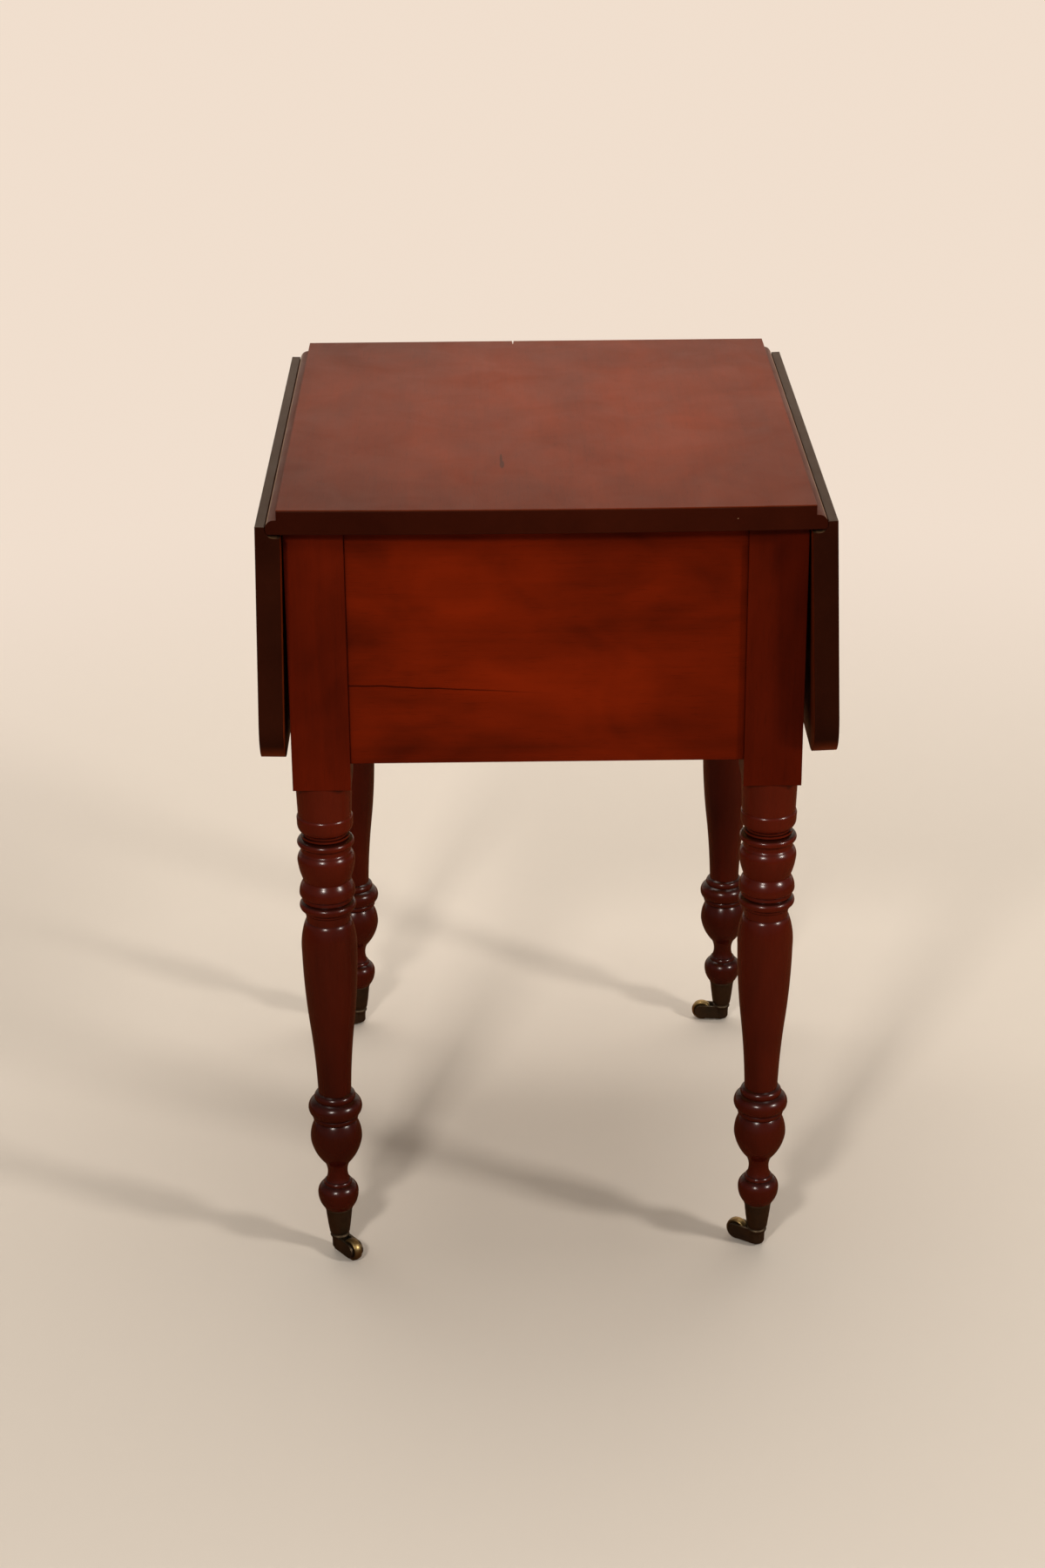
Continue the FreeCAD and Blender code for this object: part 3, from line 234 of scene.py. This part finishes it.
# Each light's name, place, target, size and watts
LIGHTS = [
    ("key_right", (2.45, -1.50, 1.90), (0, 0, 0.40), (0.40, 0.40), 53),
    ("key_left", (-0.80, -2.45, 1.90), (0, 0, 0.40), (0.32, 0.32), 40),
    ("overhead", (0, 0.5, 2.9), (0, 0.3, 0), (2.2, 1.8), 40),
    ("backdrop_wash", (0, 0.9, 2.4), (0, 2.8, 0.9), (3.0, 0.8), 38),
]


def add_camera():
    """The photograph's viewpoint."""
    forward = Vector(
        (math.sin(YAW) * math.cos(PITCH), math.cos(YAW) * math.cos(PITCH), -math.sin(PITCH))
    )
    level = Vector((math.cos(YAW), -math.sin(YAW), 0))
    upward = level.cross(forward)
    right = level * math.cos(ROLL) + upward * math.sin(ROLL)
    up = upward * math.cos(ROLL) - level * math.sin(ROLL)
    data = bpy.data.cameras.new("camera")
    data.sensor_fit = "VERTICAL"
    data.sensor_height = SENSOR_HIGH
    data.sensor_width = SENSOR_HIGH * PHOTO_WIDE / PHOTO_HIGH
    data.lens = FOCAL_PIXELS * SENSOR_HIGH / PHOTO_HIGH
    data.clip_end = CLIP_END
    camera = bpy.data.objects.new("camera", data)
    turn = Matrix((right, up, -forward)).transposed()
    camera.matrix_world = Matrix.Translation(EYE) @ turn.to_4x4()
    bpy.context.scene.collection.objects.link(camera)
    bpy.context.scene.camera = camera


class Tree:
    """Builds one material's nodes."""

    def __init__(self, name):
        self.material = bpy.data.materials.new(name)
        self.material.use_nodes = True
        self.nodes = self.material.node_tree.nodes
        self.links = self.material.node_tree.links
        self.nodes.clear()
        coordinates = self.nodes.new("ShaderNodeTexCoord")
        self.place = coordinates.outputs["Object"]
        self.normal = coordinates.outputs["Normal"]

    def set(self, socket, value):
        """Links a socket or sets its value."""
        if isinstance(value, bpy.types.NodeSocket):
            self.links.new(value, socket)
        elif isinstance(value, tuple) and len(value) == 3 and len(socket.default_value) == 4:
            socket.default_value = (*value, 1)
        else:
            socket.default_value = value

    def add(self, kind, values=(), **settings):
        """A node with its settings and its inputs."""
        node = self.nodes.new("ShaderNode" + kind)
        for key, value in settings.items():
            setattr(node, key, value)
        for key, value in dict(values).items():
            self.set(node.inputs[key], value)
        return node

    def math(self, operation, a, b=0.0, c=0.0, clamp=False):
        """One step of arithmetic with up to three values."""
        node = self.add("Math", operation=operation, use_clamp=clamp)
        for socket, value in zip(node.inputs, (a, b, c)):
            self.set(socket, value)
        return node.outputs[0]

    def vector_math(self, operation, *vectors):
        """A number worked out from vectors."""
        return self.add("VectorMath", enumerate(vectors), operation=operation).outputs["Value"]

    def parts(self, vector):
        """A vector's X, Y and Z."""
        return self.add("SeparateXYZ", {"Vector": vector}).outputs

    def stretch(self, scale, shift=(0, 0, 0)):
        """The place, scaled along each axis and shifted."""
        return self.add("Mapping", {"Vector": self.place, "Scale": scale, "Location": shift}).outputs[0]

    def noise(self, where, scale, detail, rough=0.5, distort=0.0):
        """A cloudy pattern from 0 to 1."""
        values = {"Vector": where, "Scale": scale, "Detail": detail, "Roughness": rough}
        values["Distortion"] = distort
        return self.add("TexNoise", values).outputs["Fac"]

    def ramp(self, factor, *stops):
        """A factor from 0 to 1 turned into a colour by stops of (place, colour)."""
        node = self.add("ValToRGB", {"Fac": factor})
        elements = node.color_ramp.elements
        while len(elements) < len(stops):
            elements.new(0.5)
        for element, (place, colour) in zip(elements, stops):
            element.position = place
            element.color = (*colour, 1)
        return node.outputs["Color"]

    def span(self, value, low, high, to_low=0.0, to_high=1.0, **settings):
        """A value between two limits carried over to two others."""
        values = {"Value": value, "From Min": low, "From Max": high}
        values.update({"To Min": to_low, "To Max": to_high})
        return self.add("MapRange", values, clamp=True, **settings).outputs[0]

    def mix(self, factor, a, b, blend="MIX"):
        """Two colours mixed."""
        node = self.add("Mix", data_type="RGBA", blend_type=blend)
        for index, value in zip(MIX_INPUTS, (factor, a, b)):
            self.set(node.inputs[index], value)
        return node.outputs[2]

    def mix_surfaces(self, factor, a, b):
        """Two surfaces mixed."""
        return self.add("MixShader", {0: factor, 1: a, 2: b}).outputs[0]

    def swing(self, value, noise, amount):
        """A value moved up and down by a noise."""
        return self.math("MULTIPLY_ADD", self.math("SUBTRACT", noise, 0.5), amount, value)

    def open_share(self, distance):
        """1 in the open, and less in a corner or a groove."""
        return self.add("AmbientOcclusion", {"Distance": distance}, samples=RAY_SAMPLES).outputs["AO"]

    def show(self, surface):
        """The finished material, with its surface."""
        self.add("OutputMaterial", {"Surface": surface})
        return self.material

    def finish(self, colour, rough, height, strength, rounding, **extra):
        """The material of a surface with a bump, and edges that look rounded."""
        rounded = self.add("Bevel", {"Radius": rounding}, samples=RAY_SAMPLES).outputs[0]
        bump = {"Height": height, "Strength": strength, "Distance": BUMP_DEPTH, "Normal": rounded}
        values = {"Base Color": colour, "Roughness": rough, "Normal": self.add("Bump", bump).outputs[0]}
        values.update({key.replace("_", " "): value for key, value in extra.items()})
        return self.show(self.add("BsdfPrincipled", values).outputs[0])


def along_axis(axis, along, across):
    """A vector that is one number along an axis and another across it."""
    vector = [across] * 3
    vector[AXES[axis]] = along
    return tuple(vector)


def times(vector, factor):
    """A vector or a colour times a number."""
    return tuple(part * factor for part in vector)


def grey(level):
    """A colour without a hue."""
    return (level,) * 3


def joint(name):
    """A joint of the frame."""
    return next(row for row in frame["joints"] if row["name"] == name)


def crack_mask(t, start, end, width, height, slope, wander):
    """1 along a fine wavy crack that runs along X and fades towards its end."""
    x, _, z = t.parts(t.place)
    waves = t.noise(t.stretch((CRACK_WAVES, 0, 0), (height, 0, 0)), 1.0, 3.0)
    level = t.swing(t.math("MULTIPLY_ADD", x, slope, height), waves, wander)
    off = t.math("ABSOLUTE", t.math("SUBTRACT", z, level))
    line = t.span(off, width * CRACK_CORE, width, 1.0, 0.0)
    begin = t.span(x, start, start + CRACK_START)
    fade = t.math("MULTIPLY", begin, t.span(x, end - CRACK_TAIL, end, CRACK_STRENGTH, 0.0))
    return t.math("MULTIPLY", line, fade)


def off_middle(t, middle, radii):
    """How far a place is from a middle, in shares of a radius along each axis."""
    scale = tuple(1 / radius for radius in radii)
    shift = tuple(-place / radius for place, radius in zip(middle, radii))
    return t.vector_math("LENGTH", t.stretch(scale, shift))


def spot_mask(t, spots):
    """1 on small marks."""
    total = 0.0
    for middle, radii in spots:
        total = t.math("MAXIMUM", t.span(off_middle(t, middle, radii), *MARK_EDGE), total)
    return total


def from_pin(t):
    """How far a place is from a leaf hinge's pin: outward, upward and straight."""
    pin = joint("right_leaf_hinge")["pos_m"]
    x, _, z = t.parts(t.place)
    across = t.math("SUBTRACT", t.math("ABSOLUTE", x), pin[0])
    rise = t.math("SUBTRACT", z, pin[2])
    squares = t.math("MULTIPLY_ADD", rise, rise, t.math("MULTIPLY", across, across))
    return across, rise, t.math("SQRT", squares)


def cove_wear(t, colour):
    """A leaf's edge in the rule joint: a brown lip without polish, and bare wood in the cove."""
    _, rise, reach = from_pin(t)
    upward = t.span(t.parts(t.normal)[2], *LIP_FACING)
    colour = t.mix(t.math("MULTIPLY", upward, t.span(rise, *LIP_RISE)), colour, LIP)
    low = t.math("MULTIPLY", t.span(reach, *COVE_REACH), t.span(rise, *COVE_RISE))
    return t.mix(low, colour, BARE)


def ovolo_dark_and_glint(t, colour):
    """The top's edge in the rule joint: a darker round, with a painted highlight line along its outer
    part.
    """
    across, _, reach = from_pin(t)
    side = t.span(t.math("ABSOLUTE", t.parts(t.normal)[1]), *END_FACE, ROUND_STRENGTH, 0.0)
    side = t.math("MULTIPLY", side, t.span(reach, *ROUND_REACH))
    colour = t.mix(t.math("MULTIPLY", side, t.span(across, *ROUND_ACROSS)), colour, ROUND_DARK)
    # Painted highlight: a pale line along the outer part of the round
    line = t.math("MULTIPLY", t.span(across, *GLINT_INNER), t.span(across, *GLINT_OUTER))
    return t.mix(t.math("MULTIPLY", side, line), colour, GLINT_COLOUR)


def wood(name, axis, tones, seed, rough, gloss, mottle=0.5, dirt_and_shade=0.7, fade=0.0, crack=None, marks=(),
         nicks=(), rounding=0.0008, painted_light=None, wear_and_glint=None, **extra):
    """Polished wood whose grain runs along an axis."""
    light, dark, end = tones
    t = Tree(name)
    shift = times(SEED_SHIFT, seed)

    def grain(pattern):
        along, across, *settings = GRAIN[pattern]
        return t.noise(t.stretch(along_axis(axis, along, across), shift), 1.0, *settings)

    rings = t.math("MULTIPLY_ADD", grain("bands"), RINGS, grain("lines"))
    rings = t.math("PINGPONG", rings, RING_TURN)
    streaks = grain("streaks")
    pores = grain("pores")
    tone = t.swing(0.5, grain("clouds"), mottle * CLOUD_WEIGHT)
    tone = t.swing(tone, grain("patches"), mottle * PATCH_WEIGHT)
    ring_tone = t.math("SUBTRACT", rings, RING_TURN / 2)
    tone = t.math("MULTIPLY_ADD", ring_tone, RING_WEIGHT, tone)
    tone = t.swing(tone, streaks, STREAK_WEIGHT)
    tone = t.math("ADD", tone, 0.0, clamp=True)
    colour = t.ramp(tone, (0.0, dark), (LIGHT_PLACE, light), (1.0, times(light, SHADES["high"])))
    pore_tone = t.ramp(pores, (PORE_LIMITS[0], grey(PORE_TONE)), (PORE_LIMITS[1], grey(1.0)))
    colour = t.mix(1.0, colour, pore_tone, "MULTIPLY")

    facing = t.vector_math("DOT_PRODUCT", t.normal, along_axis(axis, 1.0, 0.0))
    is_end = t.span(t.math("ABSOLUTE", facing), *END_FACING)
    end_low, end_high = times(end, SHADES["end_low"]), times(end, SHADES["end_high"])
    colour = t.mix(is_end, colour, t.ramp(tone, (0.0, end_low), (1.0, end_high)))
    # Painted shade: a leg grows darker towards the floor, where less light reaches it
    if fade:
        low = t.span(t.parts(t.place)[2], *FOOT_SHADE_HEIGHTS, fade, 0.0)
        colour = t.mix(low, colour, times(dark, SHADES["foot"]))

    # Darkens corners and grooves by how closed in they are: dark dirt there, and painted shade as well
    grime_and_shade = t.span(t.open_share(GRIME_AND_SHADE_REACH), *GRIME_AND_SHADE_OPEN, dirt_and_shade, 0.0)
    colour = t.mix(grime_and_shade, colour, times(dark, SHADES["grime_and_shade"]))
    # Painted light and shade: the board brighter at a middle and darker towards the reach
    if painted_light:
        middle, radii, least, most = painted_light
        off = off_middle(t, middle, radii)
        level = t.ramp(t.math("MULTIPLY", off, off), (0.0, grey(most)), (1.0, grey(least)))
        colour = t.mix(1.0, colour, level, "MULTIPLY")
    if wear_and_glint:
        colour = wear_and_glint(t, colour)
    if crack:
        colour = t.mix(crack_mask(t, **crack), colour, times(dark, SHADES["crack"]))
    if marks:
        strength = t.math("MULTIPLY", spot_mask(t, marks), MARK_STRENGTH)
        colour = t.mix(strength, colour, times(dark, SHADES["mark"]))
    if nicks:
        colour = t.mix(spot_mask(t, nicks), colour, NICK)

    roughness = t.swing(rough, grain("smudges"), SMUDGE_ROUGH)
    roughness = t.math("MULTIPLY_ADD", grime_and_shade, GRIME_AND_SHADE_ROUGH, roughness, clamp=True)
    height = t.math("MULTIPLY", grain("ripples"), RIPPLE_HEIGHT)
    height = t.math("MULTIPLY_ADD", streaks, STREAK_HEIGHT, height)
    height = t.math("MULTIPLY_ADD", pores, PORE_HEIGHT, height)
    extra.update({"Specular_IOR_Level": gloss, "Specular_Tint": TINT})
    return t.finish(colour, roughness, height, WOOD_BUMP, rounding, **extra)


def metal(name, light, dark, rough, worn):
    """Metal with a patina that thins where it is rubbed."""
    t = Tree(name)
    specks = t.noise(t.place, *SPECKS)
    cloud = t.noise(t.place, *METAL_CLOUDS)
    rubbed = t.math("MULTIPLY", t.span(t.open_share(RUB_REACH), *RUB_OPEN), t.span(cloud, *RUB_CLOUD))
    rubbed = t.math("MULTIPLY", rubbed, worn, clamp=True)
    bright = t.math("MULTIPLY", rubbed, RUB_BRIGHT)
    bright = t.math("MULTIPLY_ADD", specks, SPECK_BRIGHT, bright, clamp=True)
    colour = t.mix(bright, dark, light)
    roughness = t.span(rubbed, 0.0, 1.0, rough + PATINA_ROUGH, rough)
    height = t.math("MULTIPLY_ADD", specks, SPECK_HEIGHT, cloud)
    return t.finish(colour, roughness, height, METAL_BUMP, METAL_ROUNDING, Metallic=1.0)


materials = {
    "top": wood("top_cherry", "Y", TOP, seed=0.3, rough=0.36, gloss=0.037, mottle=0.3, marks=TOP_MARKS,
                nicks=TOP_NICKS, rounding=0.0010, painted_light=TOP_PAINTED_LIGHT, wear_and_glint=ovolo_dark_and_glint),
    "leaf": wood("leaf_cherry", "Y", LEAF, seed=2.3, rough=0.36, gloss=0.04, mottle=0.4,
                 rounding=0.0010, wear_and_glint=cove_wear),
    "panel": wood("panel_cherry", "X", CHERRY, seed=1.1, rough=0.40, gloss=0.03, mottle=0.6,
                  crack=PANEL_CRACK, painted_light=PANEL_PAINTED_LIGHT),
    "case_y": wood("side_cherry", "Y", CHERRY, seed=4.1, rough=0.42, gloss=0.05),
    "rail": wood("rail_cherry", "X", CHERRY, seed=3.1, rough=0.38, gloss=0.05),
    "post": wood("post_cherry", "Z", DARK_CHERRY, seed=5.7, rough=0.38, gloss=0.04, mottle=0.42,
                 dirt_and_shade=0.85, painted_light=POST_PAINTED_SHADE),
    "leg": wood("leg_cherry", "Z", DARK_CHERRY, seed=5.7, rough=0.30, gloss=0.0, mottle=0.42,
                dirt_and_shade=0.85, fade=0.6, Coat_Weight=0.60, Coat_Roughness=0.23),
    "front": wood("front_cherry", "X", CHERRY, seed=6.4, rough=0.36, gloss=0.05, mottle=0.55),
    "knob": wood("knob_cherry", "Y", CHERRY, seed=7.2, rough=0.26, gloss=0.1, mottle=0.3),
    "inner_y": wood("inner_pine", "Y", PLAIN, seed=8.1, rough=0.75, gloss=0.2, mottle=0.3),
    "inner_x": wood("inner_pine_x", "X", PLAIN, seed=9.1, rough=0.75, gloss=0.2, mottle=0.3),
    "lining_y": wood("lining_y", "Y", LINING, seed=10.2, rough=0.7, gloss=0.2, mottle=0.3),
    "lining_x": wood("lining_x", "X", LINING, seed=11.4, rough=0.7, gloss=0.2, mottle=0.3),
    "wheel": metal("wheel_brass", (0.46, 0.32, 0.13), (0.090, 0.054, 0.024), rough=0.28, worn=0.7),
    "cup": metal("cup_patina", (0.150, 0.105, 0.062), (0.052, 0.037, 0.024), rough=0.36, worn=0.4),
    "iron": metal("dark_iron", (0.16, 0.14, 0.13), (0.05, 0.03, 0.02), rough=0.45, worn=0.6),
}

# The first words of the nodes' names, with the material of each; the first match counts
MATERIAL_OF = [
    ("top_board", "top"), ("left_leaf_hinge", "iron"), ("right_leaf_hinge", "iron"),
    ("top_hinge", "iron"), ("left_leaf", "leaf"), ("right_leaf", "leaf"), ("back_panel", "panel"),
    ("side_board", "case_y"), ("front_", "rail"), ("leg_", "leg"), ("support_arm_pins", "iron"),
    ("support_arm", "case_y"), ("drawer_stops", "inner_x"), ("drawer_", "inner_y"),
    ("kickers", "inner_y"), ("backing_", "inner_y"), ("caster_wheel", "wheel"),
    ("caster_cup", "cup"), ("caster_horn", "cup"),
]
DRAWER_MATERIALS = {"front": "front", "knobs": "knob", "back": "lining_x", "bottom": "lining_x"}


def material_for(name):
    """The material of a node, from its name."""
    if name.startswith(("upper_drawer", "lower_drawer")):
        return DRAWER_MATERIALS.get(name.split("drawer_")[1], "lining_y")
    return next(kind for start, kind in MATERIAL_OF if name.startswith(start))


def add_object(name, verts, faces, material):
    """A smooth mesh in the scene."""
    mesh = bpy.data.meshes.new(name)
    mesh.from_pydata(verts, [], faces)
    mesh.validate()
    mesh.polygons.foreach_set("use_smooth", [True] * len(mesh.polygons))
    mesh.materials.append(material)
    thing = bpy.data.objects.new(name, mesh)
    bpy.context.scene.collection.objects.link(thing)
    return thing


def new_piece(name, verts, faces, material, body, replaced=None):
    """A piece of the table that rides on a body."""
    piece = add_object(name, verts, faces, materials[material])
    piece.data.set_sharp_from_angle(angle=SHARP_ANGLE)
    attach(piece, body)
    if replaced:
        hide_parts(replaced)
    return piece


def arc(start, middle, end):
    """Points from one to another along the arc through a middle, without the first."""
    (ax, ay), (bx, by), (cx, cy) = start, middle, end
    scale = 2 * (ax * (by - cy) + bx * (cy - ay) + cx * (ay - by))
    a, b, c = ax * ax + ay * ay, bx * bx + by * by, cx * cx + cy * cy
    x = (a * (by - cy) + b * (cy - ay) + c * (ay - by)) / scale
    y = (a * (cx - bx) + b * (ax - cx) + c * (bx - ax)) / scale
    radius = math.hypot(ax - x, ay - y)
    first, middle_turn, last = (math.atan2(v - y, u - x) for u, v in (start, middle, end))
    turn = (last - first) % math.tau
    if (middle_turn - first) % math.tau > turn:
        turn -= math.tau
    turns = [first + turn * step / ARC_STEPS for step in range(1, ARC_STEPS)]
    return [(x + radius * math.cos(at), y + radius * math.sin(at)) for at in turns] + [end]


def outline_points(steps):
    """An outline from steps of (end) or (middle, end)."""
    points = [steps[0][0]]
    for step in steps[1:]:
        points += arc(points[-1], *step) if len(step) == 2 else [step[0]]
    return points


def scaled(shares, radius, low, high):
    """Steps of shares of a radius and of a height in real sizes."""
    return [tuple((radius * r, low + (high - low) * h) for r, h in step) for step in shares]


def lathe(steps, axis_place):
    """Vertices and faces of an outline of (radius, height) turned about an upright axis."""
    x, y = axis_place
    points = outline_points(steps)
    verts = []
    for radius, height in points:
        for step in range(ROUND_STEPS):
            turn = math.tau * step / ROUND_STEPS
            verts.append((x + radius * math.cos(turn), y + radius * math.sin(turn), height))
    return verts, ring_faces(len(points), ROUND_STEPS)


def ring_faces(rows, steps, first=0):
    """Faces between rows of vertices that go round."""
    faces = []
    for row in range(rows - 1):
        for step in range(steps):
            here = first + row * steps + step
            beside = first + row * steps + (step + 1) % steps
            faces.append((here, beside, beside + steps, here + steps))
    return faces


def axis_of(end, side):
    """Where a leg's axis stands."""
    low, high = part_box(f"leg_{end}_{side}")
    return (low[0] + high[0]) / 2, (low[1] + high[1]) / 2


def leg(end, side):
    """A leg: its square and its turning."""
    name = f"leg_{end}_{side}"
    low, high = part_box(name)
    width = high[0] - low[0]
    x, y = axis_of(end, side)
    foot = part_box("caster_cups")[1][2]
    shoulder = high[2] - POST_LENGTH
    steps = scaled(TURNING_SHARES, width * TURNING_RADIUS_SHARE, foot, shoulder)
    verts, faces = lathe(steps, (x, y))
    first = len(verts)
    for z in (shoulder, high[2]):
        for corner_x, corner_y in CORNERS:
            verts.append((x + corner_x * width / 2, y + corner_y * width / 2, z))
    top = first + len(CORNERS)
    square = ring_faces(2, len(CORNERS), first)
    square += [tuple(reversed(range(first, top))), tuple(range(top, len(verts)))]
    piece = new_piece(f"turned_{name}", verts, faces + square, "leg", "case", name)
    piece.data.materials.append(materials["post"])
    for face in piece.data.polygons[-len(square):]:
        face.material_index = 1


def wheel(end, side):
    """A caster wheel with a crowned tread and a hub, in the place of its node."""
    name = f"caster_wheel_{end}_{side}"
    low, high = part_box(name)
    turn = Vector(joint(f"{name}_roll")["axis"]).to_track_quat("Z", "Y").to_matrix()
    middle = (Vector(low) + Vector(high)) / 2
    verts, faces = lathe(scaled(WHEEL_SHARES, high[2] / 2, 0, WHEEL_WIDTH / 2), (0, 0))
    verts = [tuple(turn @ Vector(vert) + middle) for vert in verts]
    new_piece(f"crowned_{name}", verts, faces, "wheel", name, name)


def casters():
    """The four cups in one piece, and a collar and a wheel at each."""
    low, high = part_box("caster_cups")
    radius = high[0] - axis_of("back", "right")[0]
    cup_steps = scaled(CUP_SHARES, radius, low[2], high[2])
    collar_steps = scaled(COLLAR_SHARES, radius, COLLAR_FOOT, low[2])
    verts, faces = [], []
    for end in ENDS:
        for side in SIDES:
            place = axis_of(end, side)
            cup, cup_faces = lathe(cup_steps, place)
            faces += [tuple(index + len(verts) for index in face) for face in cup_faces]
            verts += cup
            collar, collar_faces = lathe(collar_steps, place)
            body = f"caster_swivel_{end}_{side}"
            new_piece(f"collar_{end}_{side}", collar, collar_faces, "cup", body)
            wheel(end, side)
    new_piece("cups", verts, faces, "cup", "case", "caster_cups")


def screw_head(verts, faces, place, turn):
    """Adds a domed, slotted head whose plate faces along the turn's Z."""
    first = len(verts)
    for out, rise in SCREW_RING_SHARES:
        for step in range(SCREW_STEPS):
            angle = math.tau * step / SCREW_STEPS
            reach = SCREW_RADIUS * out
            spot = Vector((reach * math.cos(angle), reach * math.sin(angle), SCREW_DOME * rise))
            if abs(spot.y) < SCREW_SLOT:
                spot.z = 0
            verts.append(tuple(place + turn @ spot))
    last = len(verts) - SCREW_STEPS
    verts.append(tuple(place))
    faces += ring_faces(len(SCREW_RING_SHARES), SCREW_STEPS, first)
    for step in range(SCREW_STEPS):
        faces.append((last + step, last + (step + 1) % SCREW_STEPS, len(verts) - 1))


def hinge_screws(side):
    """The screws of one leaf's hinges: one piece on the top's plates and one on the leaf's."""
    low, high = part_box("top_hinge_plates")
    pin = Vector(joint(f"{side}_leaf_hinge")["pos_m"])
    way = SIDES[side]
    spread = high[1] - HINGE_WIDTH / 2
    down = Matrix.Rotation(math.pi, 3, "X")
    lean = Matrix.Rotation(LEANS[side], 3, "Y")
    inward = Matrix.Rotation(math.pi / 2 * -way, 3, "Y")
    top_verts, top_faces, leaf_verts, leaf_faces = [], [], [], []
    for end in (-1, 1):
        for along, across in PLATE_SCREW_SHARES:
            y = spread * end + HINGE_WIDTH * across
            x = pin.x - way * PLATE_LENGTHS["top"] * along
            screw_head(top_verts, top_faces, Vector((x, y, low[2])), down)
            reach = Vector((-PLATE_FACE * way, y, -PLATE_LENGTHS["leaf"] * along))
            spot = lean @ reach + Vector((pin.x, 0, pin.z))
            screw_head(leaf_verts, leaf_faces, spot, lean @ inward)
    new_piece(f"top_screws_{side}", top_verts, top_faces, "iron", "case")
    new_piece(f"leaf_screws_{side}", leaf_verts, leaf_faces, "iron", f"{side}_leaf")


def kicker_screws():
    """The screws that hold the top, up through the kickers."""
    low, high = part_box("kickers")
    verts, faces = [], []
    down = Matrix.Rotation(math.pi, 3, "X")
    for way in (-1, 1):
        for y in (low[1] * KICKER_SCREW_SPREAD, 0, high[1] * KICKER_SCREW_SPREAD):
            screw_head(verts, faces, Vector((high[0] * way * KICKER_SCREW_OUT, y, low[2])), down)
    new_piece("kicker_screws", verts, faces, "iron", "case")


def dull_surface(t, colour):
    """A surface without gloss."""
    values = {"Base Color": colour, "Roughness": STAGE_ROUGH, "Specular IOR Level": 0.0}
    return t.add("BsdfPrincipled", values).outputs[0]


def floor_material():
    """The floor's surface: pale far off and see-through from below for the camera, and brown for
    the gloss of the pieces."""
    t = Tree("stage_floor")
    rays = t.add("LightPath").outputs
    seen = rays["Is Camera Ray"]
    colour = t.mix(rays["Is Glossy Ray"], FLOOR_COLOUR, FLOOR_MIRRORED)
    off = t.vector_math("LENGTH", t.place)
    far = t.span(off, FLOOR_CLEAR, FLOOR_GONE, interpolation_type="SMOOTHSTEP")
    pale = t.add("Emission", {"Color": PALE, "Strength": 1.0}).outputs[0]
    surface = t.mix_surfaces(t.math("MULTIPLY", far, seen), dull_surface(t, colour), pale)
    under = t.math("MULTIPLY", t.add("NewGeometry").outputs["Backfacing"], seen)
    return t.show(t.mix_surfaces(under, surface, t.add("BsdfTransparent").outputs[0]))


def screen_material():
    """The screen's surface."""
    t = Tree("stage_screen")
    return t.show(dull_surface(t, SCREEN_COLOUR))


def floor():
    """A pale floor."""
    verts = [(x * FLOOR_HALF, y * FLOOR_HALF, 0) for x, y in CORNERS]
    add_object("floor", verts, [tuple(range(len(verts)))], floor_material())


def screen():
    """A curved screen behind the table that only throws light back."""
    profile = []
    for step in range(SCREEN_STEPS + 1):
        turn = math.pi / 2 * step / SCREEN_STEPS
        rise = SCREEN_BEND * (1 - math.cos(turn))
        profile.append((SCREEN_PLACE + SCREEN_BEND * math.sin(turn), rise))
    profile.append((SCREEN_PLACE + SCREEN_BEND, SCREEN_HIGH))
    verts = [(x, y, z) for y, z in profile for x in (-SCREEN_HALF, SCREEN_HALF)]
    faces = [(2 * k, 2 * k + 1, 2 * k + 3, 2 * k + 2) for k in range(len(profile) - 1)]
    piece = add_object("screen", verts, faces, screen_material())
    piece.visible_camera = False


def area_light(name, place, target, size, watts):
    """A soft light that faces a target."""
    data = bpy.data.lights.new(name, "AREA")
    data.shape = "RECTANGLE"
    data.size, data.size_y = size
    data.energy = watts
    data.color = LIGHT_COLOUR
    light = bpy.data.objects.new(name, data)
    light.location = place
    light.rotation_euler = (Vector(target) - Vector(place)).to_track_quat("-Z", "Y").to_euler()
    bpy.context.scene.collection.objects.link(light)


def light_world():
    """A soft world that the camera sees as the plain pale background."""
    world = bpy.data.worlds.new("world")
    bpy.context.scene.world = world
    world.use_nodes = True
    nodes, links = world.node_tree.nodes, world.node_tree.links
    soft = nodes["Background"]
    soft.inputs["Color"].default_value = (*WORLD_COLOUR, 1)
    soft.inputs["Strength"].default_value = WORLD_STRENGTH
    plain = nodes.new("ShaderNodeBackground")
    plain.inputs["Color"].default_value = (*PALE, 1)
    choice = nodes.new("ShaderNodeMixShader")
    links.new(nodes.new("ShaderNodeLightPath").outputs["Is Camera Ray"], choice.inputs[0])
    links.new(soft.outputs[0], choice.inputs[1])
    links.new(plain.outputs[0], choice.inputs[2])
    links.new(choice.outputs[0], nodes["World Output"].inputs["Surface"])


for name, node in frame["nodes"].items():
    node.data.materials.clear()
    node.data.materials.append(materials[material_for(name)])
for end in ENDS:
    for side in SIDES:
        leg(end, side)
casters()
for side in SIDES:
    hinge_screws(side)
kicker_screws()

floor()
screen()
for light in LIGHTS:
    area_light(*light)
light_world()
bpy.context.scene.view_settings.view_transform = "Standard"
add_camera()
